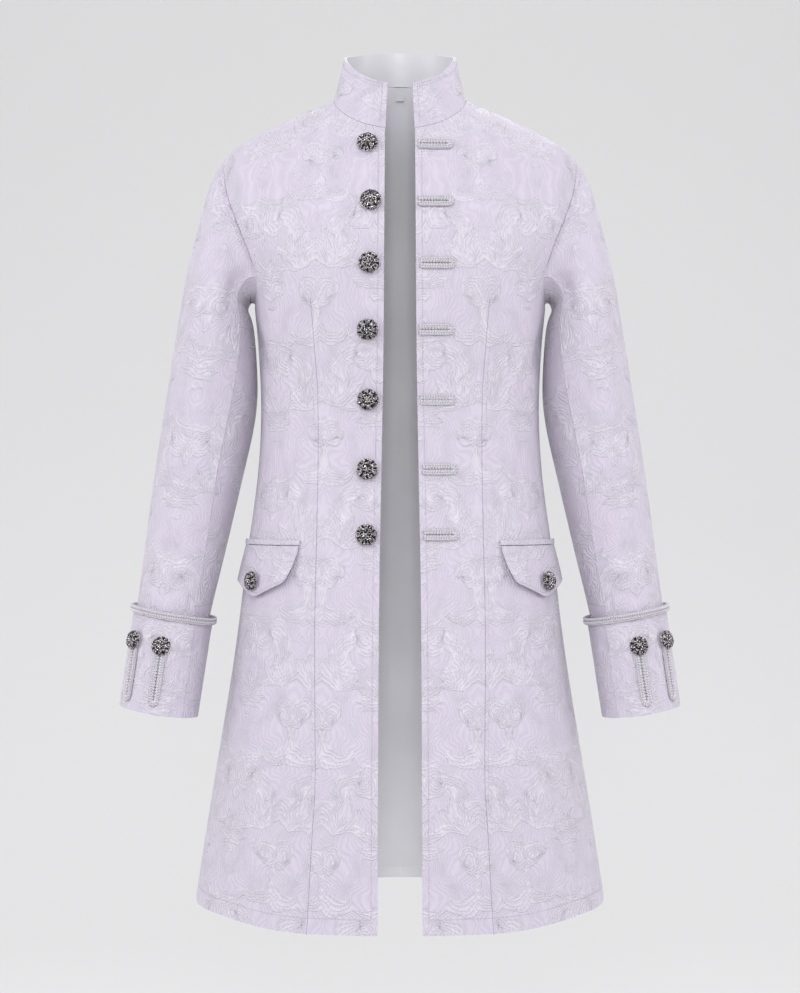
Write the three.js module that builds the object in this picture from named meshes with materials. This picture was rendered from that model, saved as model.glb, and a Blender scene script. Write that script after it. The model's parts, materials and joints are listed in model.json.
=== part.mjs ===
// A man's frock-style tailcoat in white damask, filled out as worn but with no wearer inside.
// It has a stand collar, an open front with domed buttons and braid loops, a long dart seam in each
// front, pointed pocket flaps, two-piece sleeves and deep cuffs. Millimetres, +Z up, front towards -Y,
// the wearer's left towards +X. The origin is at the middle of the neck, level with the neck points,
// where the coat hangs from the shoulders.
import * as THREE from "three";

// Cloth and gaps.
const CLOTH = 2;
const COLLAR_CLOTH = 1.6;
const LINING = 1;
const SEAM = 0.3;
const COLLAR_SEAM = 0.4;

// The back lining's depth below the outer surface, and its own hem.
const LINING_DEPTH = CLOTH + 3 * SEAM;
const LINING_HEM = -950;

// Steps down (mm) and round (radians) between the points that give a surface's normal, and how far
// outside the cloth a search for its surface starts.
const STEP_DOWN = 0.8;
const STEP_ROUND = 0.01;
const PROBE = 25;

// How far a flap or welt lies off the cloth's surface, to clear the edges of its facets.
const SEWN_ON = 1;

// Heights.
const HEM = -965;
const ARMPIT = -250;
const SHOULDER_TIP = -71.5;
const NECK_FRONT_DROP = 46;
const NECK_BACK_RISE = 29;
const NECK_HALF = 80;
const NECK_OPEN_ANGLE = THREE.MathUtils.degToRad(12.5);

// The body's level sections: half width, and depth to the front and to the back of the side seams.
// Above the armpit they run on past the armhole, and above the shoulder tip they narrow to the neck.
// round is the power of the section's curve, where 2 is an ellipse and more is squarer.
const BODY = [
  { z: -965, half: 249, front: 172, back: 178, round: 2.2 },
  { z: -911, half: 240.5, front: 166, back: 172, round: 2.2 },
  { z: -815, half: 224.5, front: 155, back: 161, round: 2.2 },
  { z: -647, half: 196, front: 135, back: 140, round: 2.25 },
  { z: -582, half: 188, front: 127, back: 131, round: 2.3 },
  { z: -526, half: 181, front: 120, back: 123, round: 2.3 },
  { z: -475, half: 173, front: 113, back: 113, round: 2.3 },
  { z: -431, half: 168, front: 109, back: 104, round: 2.3 },
  { z: -361, half: 166, front: 108, back: 97, round: 2.3 },
  { z: -320, half: 168, front: 112, back: 99, round: 2.3 },
  { z: -281, half: 171, front: 117, back: 104, round: 2.3 },
  { z: -231, half: 177, front: 122, back: 112, round: 2.3 },
  { z: -183, half: 196, front: 120, back: 118, round: 2.25 },
  { z: -146, half: 208, front: 112, back: 118, round: 2.2 },
  { z: -110, half: 214, front: 99, back: 112, round: 2.1 },
  { z: -71.5, half: 211, front: 82, back: 99, round: 2 },
  { z: -45, half: 176, front: 67, back: 87, round: 1.95 },
  { z: -28, half: 141.5, front: 60, back: 79, round: 1.9 },
  { z: -12, half: 108, front: 54, back: 71, round: 1.9 },
  { z: 0, half: 80, front: 50, back: 66, round: 1.95 },
  { z: 15, half: 78, front: 50, back: 64, round: 2 },
  { z: 30, half: 76, front: 50, back: 62, round: 2 },
];

// Half the gap between the two front edges, and how far the dart seam lies from the middle.
const FRONT_EDGE = [
  { z: -965, out: 25.3 },
  { z: -600, out: 24 },
  { z: -445, out: 21.5 },
  { z: -285, out: 18.8 },
  { z: -46, out: 17.5 },
];
const DART = [
  { z: -965, out: 107 },
  { z: -795, out: 100 },
  { z: -640, out: 102 },
  { z: -456, out: 99 },
  { z: -349, out: 100 },
  { z: -248, out: 108 },
];
const DART_TIP = -248;
const DART_GAP = 0.6;

// Soft flutes that the skirt hangs in below the hips, deepest at the hem.
const FLUTES = { from: -600, deep: 3.5, turns: 7, start: 0.6 };

// How far the hem is lifted at the sides, between two shares of a quarter turn's sine.
const HEM_LIFT = { high: 12, from: 0.5, to: 0.92 };

// The armhole's bulge to the front and to the back. lean moves the bulge down the armhole.
const ARMHOLE_FRONT = { deep: 50.8, lean: 0.59 };
const ARMHOLE_BACK = { deep: 60, lean: 0.2 };

// Rows and columns of the panels' grids.
const SKIRT_ROWS = 13;
const YOKE_ROWS = 10;
const SIDE_COLUMNS = 7;
const EDGE_COLUMNS = 4;
const BACK_COLUMNS = 9;
const FRONT_NECK_ROWS = 5;
const BACK_NECK_ROWS = 4;
const ROUND_ARM = 2 * YOKE_ROWS;
const ARM_CROWDING = 0.8;

// Sections of the sleeve from the armhole to the hand: the point nearest the body, the point farthest
// out, the middle's place front to back, the half depth, how much of the armhole's shape is left, and
// how far the seams are turned back towards the outside, in degrees.
const SLEEVE = [
  { nearX: 175.6, nearZ: -246.6, farX: 218.5, farZ: -80, middle: 2, deep: 57, armhole: 0.8, twist: 0 },
  { nearX: 177.6, nearZ: -245.6, farX: 226, farZ: -95, middle: 3, deep: 59, armhole: 0.6, twist: 0 },
  { nearX: 179.8, nearZ: -246.4, farX: 233.5, farZ: -116, middle: 4, deep: 62, armhole: 0.4, twist: 0 },
  { nearX: 181.4, nearZ: -249, farX: 240.6, farZ: -146, middle: 4, deep: 65, armhole: 0.2, twist: 0 },
  { nearX: 182.2, nearZ: -253.5, farX: 249.5, farZ: -180, middle: 5, deep: 68, armhole: 0.08, twist: 0 },
  { nearX: 177.5, nearZ: -260, farX: 257.5, farZ: -214, middle: 6, deep: 70, armhole: 0, twist: -2 },
  { nearX: 173.4, nearZ: -276, farX: 264, farZ: -250, middle: 7, deep: 71, armhole: 0, twist: -4 },
  { nearX: 170.4, nearZ: -312, farX: 271, farZ: -293, middle: 8, deep: 71, armhole: 0, twist: 1 },
  { nearX: 167.8, nearZ: -369, farX: 280.5, farZ: -350, middle: 9, deep: 68.5, armhole: 0, twist: 12 },
  { nearX: 183, nearZ: -434, farX: 290.5, farZ: -416, middle: 6, deep: 64, armhole: 0, twist: 13 },
  { nearX: 196, nearZ: -492, farX: 298.5, farZ: -475, middle: 1, deep: 60, armhole: 0, twist: 9 },
  { nearX: 209, nearZ: -550, farX: 305, farZ: -534, middle: -7, deep: 56, armhole: 0, twist: 5 },
  { nearX: 222.8, nearZ: -606, farX: 311, farZ: -591, middle: -18, deep: 52, armhole: 0, twist: 2 },
  { nearX: 233.5, nearZ: -665, farX: 318.5, farZ: -650, middle: -31, deep: 49, armhole: 0, twist: 1 },
  { nearX: 238.5, nearZ: -733, farX: 327.5, farZ: -718, middle: -46, deep: 50, armhole: 0, twist: 0 },
];
const CUFF = [
  { nearX: 221, nearZ: -623, farX: 316, farZ: -605, middle: -21, deep: 55.5, armhole: 0, twist: 2 },
  { nearX: 226, nearZ: -660, farX: 320.8, farZ: -643, middle: -29, deep: 54.5, armhole: 0, twist: 1 },
  { nearX: 231, nearZ: -697, farX: 325.5, farZ: -681, middle: -38, deep: 53.5, armhole: 0, twist: 0 },
  { nearX: 236, nearZ: -734, farX: 330, farZ: -719, middle: -46, deep: 52.5, armhole: 0, twist: 0 },
];
// The sleeve's two seams, counted in columns round the arm from the shoulder towards the front.
const FRONT_ARM_SEAM = 8;
const BACK_ARM_SEAM = 13;
const ARM_SEAM_TURN = 0.0045;

// The cuff's length, and its mean distance from the arm's middle line.
const CUFF_TALL = CUFF[0].nearZ - CUFF[CUFF.length - 1].nearZ;
const CUFF_ROUND = 50;

// The stand collar's top edge.
const COLLAR = {
  half: 68,
  front: 62,
  back: 58,
  side: 52,
  frontDrop: 44,
  frontCurve: 1.25,
  backRise: 17,
  backCurve: 1.2,
  rows: 2,
};

// Pocket flap: distance round the ring from the middle of the front to the flap's own middle, its
// half width at the top and at the lower corners, and its heights at the corners and at the point.
// Its corners stand off the coat by standOff and its point by pointShare of that.
const FLAP = {
  top: -532,
  middle: 182,
  halfTop: 63,
  halfCorner: 47,
  corner: 42.5,
  point: 61,
  thick: 2,
  columns: 10,
  rows: 5,
  sideCurve: 1.6,
  standOff: 8,
  pointShare: 0.45,
};
const WELT = { tall: 6, thick: 3, half: 64, gap: 0.5 };

// Domed shank buttons.
const BUTTON_SIDES = 12;
const FRONT_BUTTON = 12.4;
const SMALL_BUTTON = 11.2;
const SHANK = { radius: 3, tall: 3.2, gap: 0.45 };
const FLAP_BUTTON = { abovePoint: 19, lift: 6 };
const DOME = 8;
const FRONT_BUTTONS = [
  { z: -65, out: 38 },
  { z: -136, out: 33.5 },
  { z: -208.5, out: 35 },
  { z: -284, out: 36.8 },
  { z: -364, out: 36.6 },
  { z: -444, out: 37.3 },
  { z: -519, out: 38.2 },
];

// Gimp braid: the loops opposite the buttons and below the cuff buttons, and the cuff's top edge.
const GIMP = { wide: 6.6, thick: 2.4, spread: 4, turnSteps: 5, straightSteps: 3 };
const FRONT_LOOP = { from: 1.5, to: 45 };
const CUFF_LOOP = { from: 0.345, to: 0.93 };
const CUFF_BUTTON_DOWN = 0.31;
const CUFF_BUTTON_TURNS = [0.74, 1.5];
const CUFF_BRAID = { above: 4.5, below: 5.5, thick: 4, gap: 0.8 };

// A small woven label below the neck seam.
const LABEL = { half: 5.2, top: 21, bottom: 11.5, thick: 0.5 };

// Smooth value of one column of a table at a height, with no overshoot between the rows.
function at(table, column, z) {
  const last = table.length - 1;
  if (z <= table[0].z) return table[0][column];
  if (z >= table[last].z) return table[last][column];
  let i = 0;
  while (z > table[i + 1].z) i += 1;
  const secant = (k) => (table[k + 1][column] - table[k][column]) / (table[k + 1].z - table[k].z);
  const slope = (k) => {
    if (k === 0) return secant(0);
    if (k === last) return secant(last - 1);
    const before = secant(k - 1);
    const after = secant(k);
    return before * after <= 0 ? 0 : (2 * before * after) / (before + after);
  };
  const span = table[i + 1].z - table[i].z;
  const t = (z - table[i].z) / span;
  const rise = t * t * (3 - 2 * t);
  const start = t * (1 - t) * (1 - t) * span * slope(i);
  const end = t * t * (t - 1) * span * slope(i + 1);
  return table[i][column] * (1 - rise) + table[i + 1][column] * rise + start + end;
}

const signedPower = (value, power) => Math.sign(value) * Math.abs(value) ** power;

// A point of the body's outer surface on the wearer's left. The angle runs from the middle of the
// front, past the side seam at a quarter turn, to the middle of the back.
function bodySurface(z, angle) {
  const power = 2 / at(BODY, "round", z);
  const deep = Math.cos(angle) > 0 ? at(BODY, "front", z) : at(BODY, "back", z);
  const x = at(BODY, "half", z) * signedPower(Math.sin(angle), power);
  const y = -deep * signedPower(Math.cos(angle), power);
  const fall = Math.max(0, (FLUTES.from - z) / (FLUTES.from - HEM));
  const flute = FLUTES.deep * fall * Math.sin(FLUTES.turns * angle + FLUTES.start);
  const out = 1 + (flute * Math.sin(angle) ** 2) / Math.hypot(x, y);
  return new THREE.Vector3(x * out, y * out, z);
}

// Outward normal of a surface of two parameters, from points a little to each side.
function normalOf(surface, u, v, stepU, stepV) {
  const along = surface(u + stepU, v).sub(surface(u - stepU, v));
  const across = surface(u, v + stepV).sub(surface(u, v - stepV));
  return across.cross(along).normalize();
}

// The body's surface moved out by lift, or in where lift is negative.
function onBody(z, angle, lift) {
  const normal = normalOf(bodySurface, z, angle, STEP_DOWN, STEP_ROUND);
  return bodySurface(z, angle).addScaledVector(normal, lift);
}

// A spot of the grid, drawn up towards the sides near the hem.
function hemLifted(spot) {
  const low = Math.max(0, (ARMPIT - spot.z) / (ARMPIT - HEM));
  const aside = THREE.MathUtils.smoothstep(Math.sin(spot.angle), HEM_LIFT.from, HEM_LIFT.to);
  return { z: spot.z + HEM_LIFT.high * aside * low ** 4, angle: spot.angle };
}

const sideAngle = Math.PI / 2;
const ratioAngle = (ratio, z) => Math.min(1, ratio) ** (at(BODY, "round", z) / 2);

// The angle at which the section at a height reaches a distance out from the middle of the front.
const angleAtOut = (out, z) => Math.asin(ratioAngle(out / at(BODY, "half", z), z));

// The turn of a column round the arm. Column 0 is the top of the shoulder, and the columns come over
// the front to the armpit and up the back, lying wider apart towards the armpit.
function armTurn(column) {
  const place = (column + ROUND_ARM) % ROUND_ARM;
  const fromArmpit = Math.abs(1 - place / YOKE_ROWS);
  const turn = Math.PI * (1 - fromArmpit ** ARM_CROWDING);
  return place > YOKE_ROWS ? 2 * Math.PI - turn : turn;
}

// The armhole from the shoulder tip, turn 0, over the front to the armpit, turn pi, and up the back.
function armhole(turn) {
  const back = turn > Math.PI;
  const t = back ? 2 * Math.PI - turn : turn;
  const bulge = back ? ARMHOLE_BACK : ARMHOLE_FRONT;
  const z = SHOULDER_TIP + ((ARMPIT - SHOULDER_TIP) * (1 - Math.cos(t))) / 2;
  const y = bulge.deep * Math.sin(t) * (1 - bulge.lean * Math.cos(t));
  const deep = at(BODY, back ? "back" : "front", z);
  const angle = Math.acos(ratioAngle(Math.max(0, y) / deep, z));
  return { z, angle: back ? Math.PI - angle : angle };
}

// The neck seam from the front edge to the middle of the back, by its own turn.
function neckline(turn) {
  const front = turn < sideAngle;
  const out = NECK_HALF * Math.sin(turn);
  const z = front
    ? -NECK_FRONT_DROP * Math.cos(turn)
    : NECK_BACK_RISE * Math.max(0, -Math.cos(turn)) ** 1.6;
  const angle = angleAtOut(out, z);
  return { z, angle: front ? angle : Math.PI - angle };
}

const mix = THREE.MathUtils.lerp;
const mixSpot = (a, b, t) => hemLifted({ z: mix(a.z, b.z, t), angle: mix(a.angle, b.angle, t) });

// A grid row's two ends. The skirt's rows are level; the yoke's climb the armhole at one end, and the
// front edge or the middle of the back and then the neck seam at the other.
function frontEnds(row) {
  if (row <= SKIRT_ROWS) {
    const z = mix(HEM, ARMPIT, row / SKIRT_ROWS);
    return [{ z, angle: sideAngle }, { z, angle: angleAtOut(at(FRONT_EDGE, "out", z), z) }];
  }
  const step = row - SKIRT_ROWS;
  const edgeRows = YOKE_ROWS - FRONT_NECK_ROWS;
  const start = neckline(NECK_OPEN_ANGLE);
  const outer = armhole(armTurn(YOKE_ROWS - step));
  if (step <= edgeRows) {
    const z = mix(ARMPIT, start.z, step / edgeRows);
    return [outer, { z, angle: angleAtOut(at(FRONT_EDGE, "out", z), z) }];
  }
  return [outer, neckline(mix(NECK_OPEN_ANGLE, sideAngle, (step - edgeRows) / FRONT_NECK_ROWS))];
}

function backEnds(row) {
  if (row <= SKIRT_ROWS) {
    const z = mix(HEM, ARMPIT, row / SKIRT_ROWS);
    return [{ z, angle: sideAngle }, { z, angle: Math.PI }];
  }
  const step = row - SKIRT_ROWS;
  const middleRows = YOKE_ROWS - BACK_NECK_ROWS;
  const outer = armhole(armTurn(YOKE_ROWS + step));
  if (step <= middleRows) {
    return [outer, { z: mix(ARMPIT, NECK_BACK_RISE, step / middleRows), angle: Math.PI }];
  }
  return [outer, neckline(mix(Math.PI, sideAngle, (step - middleRows) / BACK_NECK_ROWS))];
}

// A geometry from points and triangles.
function solid(points, faces) {
  const geometry = new THREE.BufferGeometry();
  const flat = points.flatMap((p) => [p.x, p.y, p.z]);
  geometry.setAttribute("position", new THREE.Float32BufferAttribute(flat, 3));
  geometry.setIndex(faces);
  geometry.computeVertexNormals();
  return geometry;
}

// A closed wall from a grid of four-cornered cells: an outer skin, an inner skin and a rim wherever
// a cell has no neighbour. Cells name their corners by index, anticlockwise seen from outside.
function wall(cells, outer, inner) {
  const count = outer.length;
  const faces = [];
  const open = new Map();
  for (const cell of cells) {
    const [a, b, c, d] = cell;
    faces.push(a, b, c, a, c, d);
    faces.push(c + count, b + count, a + count, d + count, c + count, a + count);
    cell.forEach((from, i) => {
      const to = cell[(i + 1) % cell.length];
      if (!open.delete(`${to} ${from}`)) open.set(`${from} ${to}`, [from, to]);
    });
  }
  for (const [from, to] of open.values()) {
    faces.push(to, from, from + count, to, from + count, to + count);
  }
  return solid([...outer, ...inner], faces);
}

// A plain grid's cells.
function gridCells(rows, columns) {
  const cells = [];
  for (let row = 0; row < rows; row += 1) {
    for (let column = 0; column < columns; column += 1) {
      const low = row * (columns + 1) + column;
      const high = low + columns + 1;
      cells.push([low, low + 1, high + 1, high]);
    }
  }
  return cells;
}

const turned = (cells) => cells.map((cell) => [...cell].reverse());

// A wall across both sides of the coat, from the left's cells and points and their mirror images.
// The two sides share the points at x = 0.
function pairedWall(cells, outer, inner) {
  const mirrored = outer.map((p, i) => (p.x === 0 ? i : -1));
  const all = [outer.slice(), inner.slice()];
  outer.forEach((p, i) => {
    if (mirrored[i] >= 0) return;
    mirrored[i] = all[0].length;
    all[0].push(new THREE.Vector3(-p.x, p.y, p.z));
    all[1].push(new THREE.Vector3(-inner[i].x, inner[i].y, inner[i].z));
  });
  const other = cells.map(([a, b, c, d]) => [a, d, c, b].map((i) => mirrored[i]));
  return wall([...cells, ...other], all[0], all[1]);
}

// Keeps a point on its own side of a seam that lies in the plane y = 0 or x = 0.
const halfSeam = SEAM / 2 + 0.05;
const inFrontOfSeam = (p) => p.setY(Math.min(p.y, -halfSeam));
const behindSeam = (p) => p.setY(Math.max(p.y, halfSeam));
const besideMiddle = (p) => p.setX(Math.max(p.x, halfSeam));

// Left front: one piece, slit along the dart seam from the hem to the dart's tip.
function frontGeometry() {
  const rows = SKIRT_ROWS + YOKE_ROWS;
  const columns = SIDE_COLUMNS + EDGE_COLUMNS;
  const outer = [];
  const inner = [];
  const slitTwins = new Map();
  const add = (z, angle, atSeam) => {
    const keep = (p) => (atSeam ? inFrontOfSeam(p) : p);
    outer.push(keep(onBody(z, angle, 0)));
    inner.push(keep(onBody(z, angle, -CLOTH)));
    return outer.length - 1;
  };
  const seamShare = (z, ends) => {
    const dart = angleAtOut(at(DART, "out", z), z);
    return (ends[0].angle - dart) / (ends[0].angle - ends[1].angle);
  };
  const tipShare = seamShare(DART_TIP, frontEnds(SKIRT_ROWS));
  const index = [];
  for (let row = 0; row <= rows; row += 1) {
    const ends = frontEnds(row);
    const inSkirt = row <= SKIRT_ROWS;
    const share = inSkirt ? seamShare(ends[0].z, ends) : tipShare;
    index.push([]);
    for (let column = 0; column <= columns; column += 1) {
      const t =
        column <= SIDE_COLUMNS
          ? (share * column) / SIDE_COLUMNS
          : mix(share, 1, (column - SIDE_COLUMNS) / EDGE_COLUMNS);
      const spot = mixSpot(ends[0], ends[1], t);
      const atSeam = (column === 0 && inSkirt) || row === rows;
      const slit = column === SIDE_COLUMNS && row < SKIRT_ROWS;
      const half = slit ? DART_GAP / 2 / bodySurface(spot.z, 0).length() : 0;
      index[row].push(add(spot.z, spot.angle + half, atSeam));
      if (slit) slitTwins.set(index[row][column], add(spot.z, spot.angle - half, atSeam));
    }
  }
  const cells = [];
  for (let row = 0; row < rows; row += 1) {
    for (let column = 0; column < columns; column += 1) {
      const corner = (r, c) => {
        const found = index[r][c];
        return c === SIDE_COLUMNS && column === SIDE_COLUMNS && slitTwins.has(found)
          ? slitTwins.get(found)
          : found;
      };
      cells.push([
        corner(row, column + 1),
        corner(row, column),
        corner(row + 1, column),
        corner(row + 1, column + 1),
      ]);
    }
  }
  return wall(cells, outer, inner);
}

// Points of the back's grid from the side seam to the middle, lifted off the surface.
function backPoints(lift, keep, hem = HEM) {
  const points = [];
  for (let row = 0; row <= SKIRT_ROWS + YOKE_ROWS; row += 1) {
    const ends = backEnds(row).map((end) => ({ ...end, z: Math.max(end.z, hem) }));
    for (let column = 0; column <= BACK_COLUMNS; column += 1) {
      const spot = mixSpot(ends[0], ends[1], column / BACK_COLUMNS);
      points.push(keep(onBody(spot.z, spot.angle, lift), column, row));
    }
  }
  return points;
}

// Left back, from the side seam to the middle back seam.
function backGeometry() {
  const rows = SKIRT_ROWS + YOKE_ROWS;
  const keep = (p, column, row) => {
    if ((column === 0 && row <= SKIRT_ROWS) || row === rows) behindSeam(p);
    return column === BACK_COLUMNS ? besideMiddle(p) : p;
  };
  return wall(gridCells(rows, BACK_COLUMNS), backPoints(0, keep), backPoints(-CLOTH, keep));
}

// Back lining: one piece across both backs, on the same grid, just inside the cloth.
function liningGeometry() {
  const rows = SKIRT_ROWS + YOKE_ROWS;
  const keep = (p, column, row) => {
    if ((column === 0 && row <= SKIRT_ROWS) || row === rows) behindSeam(p);
    return column === BACK_COLUMNS && row <= rows - BACK_NECK_ROWS ? p.setX(0) : p;
  };
  const skin = (lift) => backPoints(lift, keep, LINING_HEM);
  const cells = gridCells(rows, BACK_COLUMNS);
  return pairedWall(cells, skin(-LINING_DEPTH), skin(-LINING_DEPTH - LINING));
}

// A point of a sleeve or cuff section. The turn runs from the far point over the front.
function armSection(row, turn) {
  const share = (1 + Math.cos(turn)) / 2;
  const straight = mix(ARMHOLE_ENDS.nearX, ARMHOLE_ENDS.farX, share);
  const hollow = row.armhole * (armholePoint(turn).x - straight);
  const front = turn < Math.PI;
  const bulge = front ? ARMHOLE_FRONT : ARMHOLE_BACK;
  const lean = 1 - row.armhole * bulge.lean * Math.cos(turn);
  const x = mix(row.nearX, row.farX, share) + hollow;
  const y = row.middle - row.deep * Math.sin(turn) * lean;
  return new THREE.Vector3(x, y, mix(row.nearZ, row.farZ, share));
}

function armholePoint(turn) {
  const spot = armhole(turn);
  return bodySurface(spot.z, spot.angle);
}

const ARMHOLE_ENDS = {
  nearX: at(BODY, "half", ARMPIT),
  farX: at(BODY, "half", SHOULDER_TIP),
};

// The tube's surface through a table of sections, for normals and for what is sewn to it.
function armSurface(table, place, turn) {
  const spot = Math.min(Math.max(place, 0), table.length - 1);
  const row = Math.min(Math.floor(spot), table.length - 2);
  const wrapped = (turn + 2 * Math.PI) % (2 * Math.PI);
  const low = armSection(table[row], wrapped);
  return low.lerp(armSection(table[row + 1], wrapped), spot - row);
}

function onArm(table, place, turn, lift) {
  const surface = (v, u) => armSurface(table, v, u);
  const inside = Math.min(Math.max(place, 0.5), table.length - 1.5);
  const out = normalOf(surface, inside, turn, 0.5, 0.05);
  return surface(place, turn).addScaledVector(out, lift);
}

// Where the sleeve starts: on the armhole, moved off the body's edge by the seam gap.
function sleeveHead(turn, lift) {
  const spot = armhole(turn);
  const step = 0.02;
  const before = armholePoint((turn - step + 2 * Math.PI) % (2 * Math.PI));
  const after = armholePoint((turn + step) % (2 * Math.PI));
  const along = after.sub(before).normalize();
  const normal = normalOf(bodySurface, spot.z, spot.angle, STEP_DOWN, STEP_ROUND);
  const away = normal.clone().cross(along).normalize();
  return bodySurface(spot.z, spot.angle)
    .addScaledVector(normal, lift)
    .addScaledVector(away, 2 * SEAM);
}

// One strip of a sleeve or cuff, between two columns round the arm.
function armStrip(table, first, last, withHead) {
  const start = withHead ? -1 : 0;
  const rows = table.length - 1 - start;
  const skin = (lift) => {
    const points = [];
    for (let row = start; row < table.length; row += 1) {
      for (let column = first; column <= last; column += 1) {
        const edge = column === first ? 1 : column === last ? -1 : 0;
        const twist = THREE.MathUtils.degToRad(row < 0 ? 0 : table[row].twist);
        const turn = armTurn(column) + edge * ARM_SEAM_TURN - twist;
        points.push(row < 0 ? sleeveHead(turn, lift) : onArm(table, row, turn, lift));
      }
    }
    return points;
  };
  return wall(gridCells(rows, last - first), skin(0), skin(-CLOTH));
}

// The collar's surface: rise 0 is the neck seam and rise 1 the top edge.
function collarSurface(rise, turn) {
  const seam = neckline(Math.min(Math.max(turn, NECK_OPEN_ANGLE), Math.PI));
  const base = bodySurface(seam.z, seam.angle);
  base.z += COLLAR_SEAM;
  const cos = Math.cos(turn);
  const top = new THREE.Vector3(
    COLLAR.half * Math.sin(turn),
    cos > 0 ? -COLLAR.front * cos : -COLLAR.back * cos,
    cos > 0
      ? COLLAR.side - COLLAR.frontDrop * cos ** COLLAR.frontCurve
      : COLLAR.side + COLLAR.backRise * (-cos) ** COLLAR.backCurve,
  );
  return base.lerp(top, rise);
}

// Collar or collar lining: a band from one front edge round the back of the neck to the other.
function collarGeometry(outside, thick) {
  const turns = [];
  for (let i = 0; i <= FRONT_NECK_ROWS; i += 1) {
    turns.push(mix(NECK_OPEN_ANGLE, sideAngle, i / FRONT_NECK_ROWS));
  }
  for (let i = 1; i <= BACK_NECK_ROWS; i += 1) {
    turns.push(mix(sideAngle, Math.PI, i / BACK_NECK_ROWS));
  }
  const skin = (depth) => {
    const points = [];
    for (let row = 0; row <= COLLAR.rows; row += 1) {
      const rise = row / COLLAR.rows;
      const half = turns.map((turn) => {
        const inwards = collarSurface(rise, turn).setZ(0).normalize();
        return collarSurface(rise, turn).addScaledVector(inwards, -depth);
      });
      half[half.length - 1].setX(0);
      points.push(...half);
    }
    return points;
  };
  const cells = gridCells(COLLAR.rows, turns.length - 1);
  return pairedWall(cells, skin(outside), skin(outside + thick));
}

// The two strips of a sleeve or of a cuff.
const upperStrip = (table, withHead) =>
  armStrip(table, BACK_ARM_SEAM - ROUND_ARM, FRONT_ARM_SEAM, withHead);
const underStrip = (table, withHead) =>
  armStrip(table, FRONT_ARM_SEAM, BACK_ARM_SEAM, withHead);

// The left side's cloth, which the trimmings are laid on.
const front = frontGeometry();
const back = backGeometry();
const cuffUpper = upperStrip(CUFF, false);
const cuffUnder = underStrip(CUFF, false);
const coatCloth = [new THREE.Mesh(front), new THREE.Mesh(back)];
const cuffCloth = [new THREE.Mesh(cuffUpper), new THREE.Mesh(cuffUnder)];

// A point on the made cloth, found from outside along the surface's normal and moved out by lift.
// A ray that falls into a seam's gap is cast again beside it.
function onCloth(pieces, place, outwards, lift) {
  for (const aside of [0, 2 * SEAM]) {
    const start = place.clone().addScaledVector(outwards, PROBE);
    start.y += aside;
    const ray = new THREE.Raycaster(start, outwards.clone().negate(), 0, 2 * PROBE);
    const [hit] = ray.intersectObjects(pieces);
    if (hit) return hit.point.addScaledVector(outwards, lift).sub(new THREE.Vector3(0, aside, 0));
  }
  throw new Error(`no cloth lies at ${place.toArray()}`);
}

function onCoat(z, angle, lift) {
  const outwards = normalOf(bodySurface, z, angle, STEP_DOWN, STEP_ROUND);
  return onCloth(coatCloth, bodySurface(z, angle), outwards, lift);
}

function onCuff(place, turn, lift) {
  const foot = onArm(CUFF, place, turn, 0);
  const outwards = onArm(CUFF, place, turn, 1).sub(foot);
  return onCloth(cuffCloth, foot, outwards, lift);
}

// The angle at a distance round the section from the middle of the front.
function angleAtArc(z, arc) {
  const step = 0.01;
  let angle = 0;
  let walked = 0;
  let here = bodySurface(z, angle);
  while (walked < arc) {
    const next = bodySurface(z, angle + step);
    const length = next.distanceTo(here);
    if (walked + length >= arc) return angle + (step * (arc - walked)) / length;
    walked += length;
    angle += step;
    here = next;
  }
  return angle;
}

function arcAtOut(z, out) {
  const step = 0.01;
  let arc = 0;
  let here = bodySurface(z, 0);
  for (let angle = step; here.x < out; angle += step) {
    const next = bodySurface(z, angle);
    arc += next.distanceTo(here);
    here = next;
  }
  return arc;
}

// Pocket flap: square at the top, drawn in to its lower corners and pointed in the middle. It lies
// on the cloth at the top and stands off it towards the corners.
function flapGeometry() {
  const skin = (lift) => {
    const points = [];
    for (let row = 0; row <= FLAP.rows; row += 1) {
      for (let column = 0; column <= FLAP.columns; column += 1) {
        const across = (2 * column) / FLAP.columns - 1;
        const tall = mix(FLAP.point, FLAP.corner, Math.abs(across));
        const down = (tall * row) / FLAP.rows;
        const drawIn = Math.min(1, down / FLAP.corner) ** FLAP.sideCurve;
        const half = mix(FLAP.halfTop, FLAP.halfCorner, drawIn);
        const z = FLAP.top - down;
        const away = FLAP.standOff * (down / FLAP.point) * mix(FLAP.pointShare, 1, across ** 2);
        points.push(onCoat(z, angleAtArc(z, FLAP.middle + across * half), lift + away));
      }
    }
    return points;
  };
  const cells = turned(gridCells(FLAP.rows, FLAP.columns));
  return wall(cells, skin(SEWN_ON + FLAP.thick), skin(SEWN_ON));
}

// Welt: the narrow raised strip that the flap is sewn below.
function weltGeometry() {
  const skin = (lift) => {
    const points = [];
    for (const z of [FLAP.top + WELT.gap + WELT.tall, FLAP.top + WELT.gap]) {
      for (let column = 0; column <= FLAP.columns; column += 1) {
        const across = (2 * column) / FLAP.columns - 1;
        points.push(onCoat(z, angleAtArc(z, FLAP.middle + across * WELT.half), lift));
      }
    }
    return points;
  };
  const cells = turned(gridCells(1, FLAP.columns));
  return wall(cells, skin(SEWN_ON + WELT.thick), skin(SEWN_ON));
}

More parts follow.
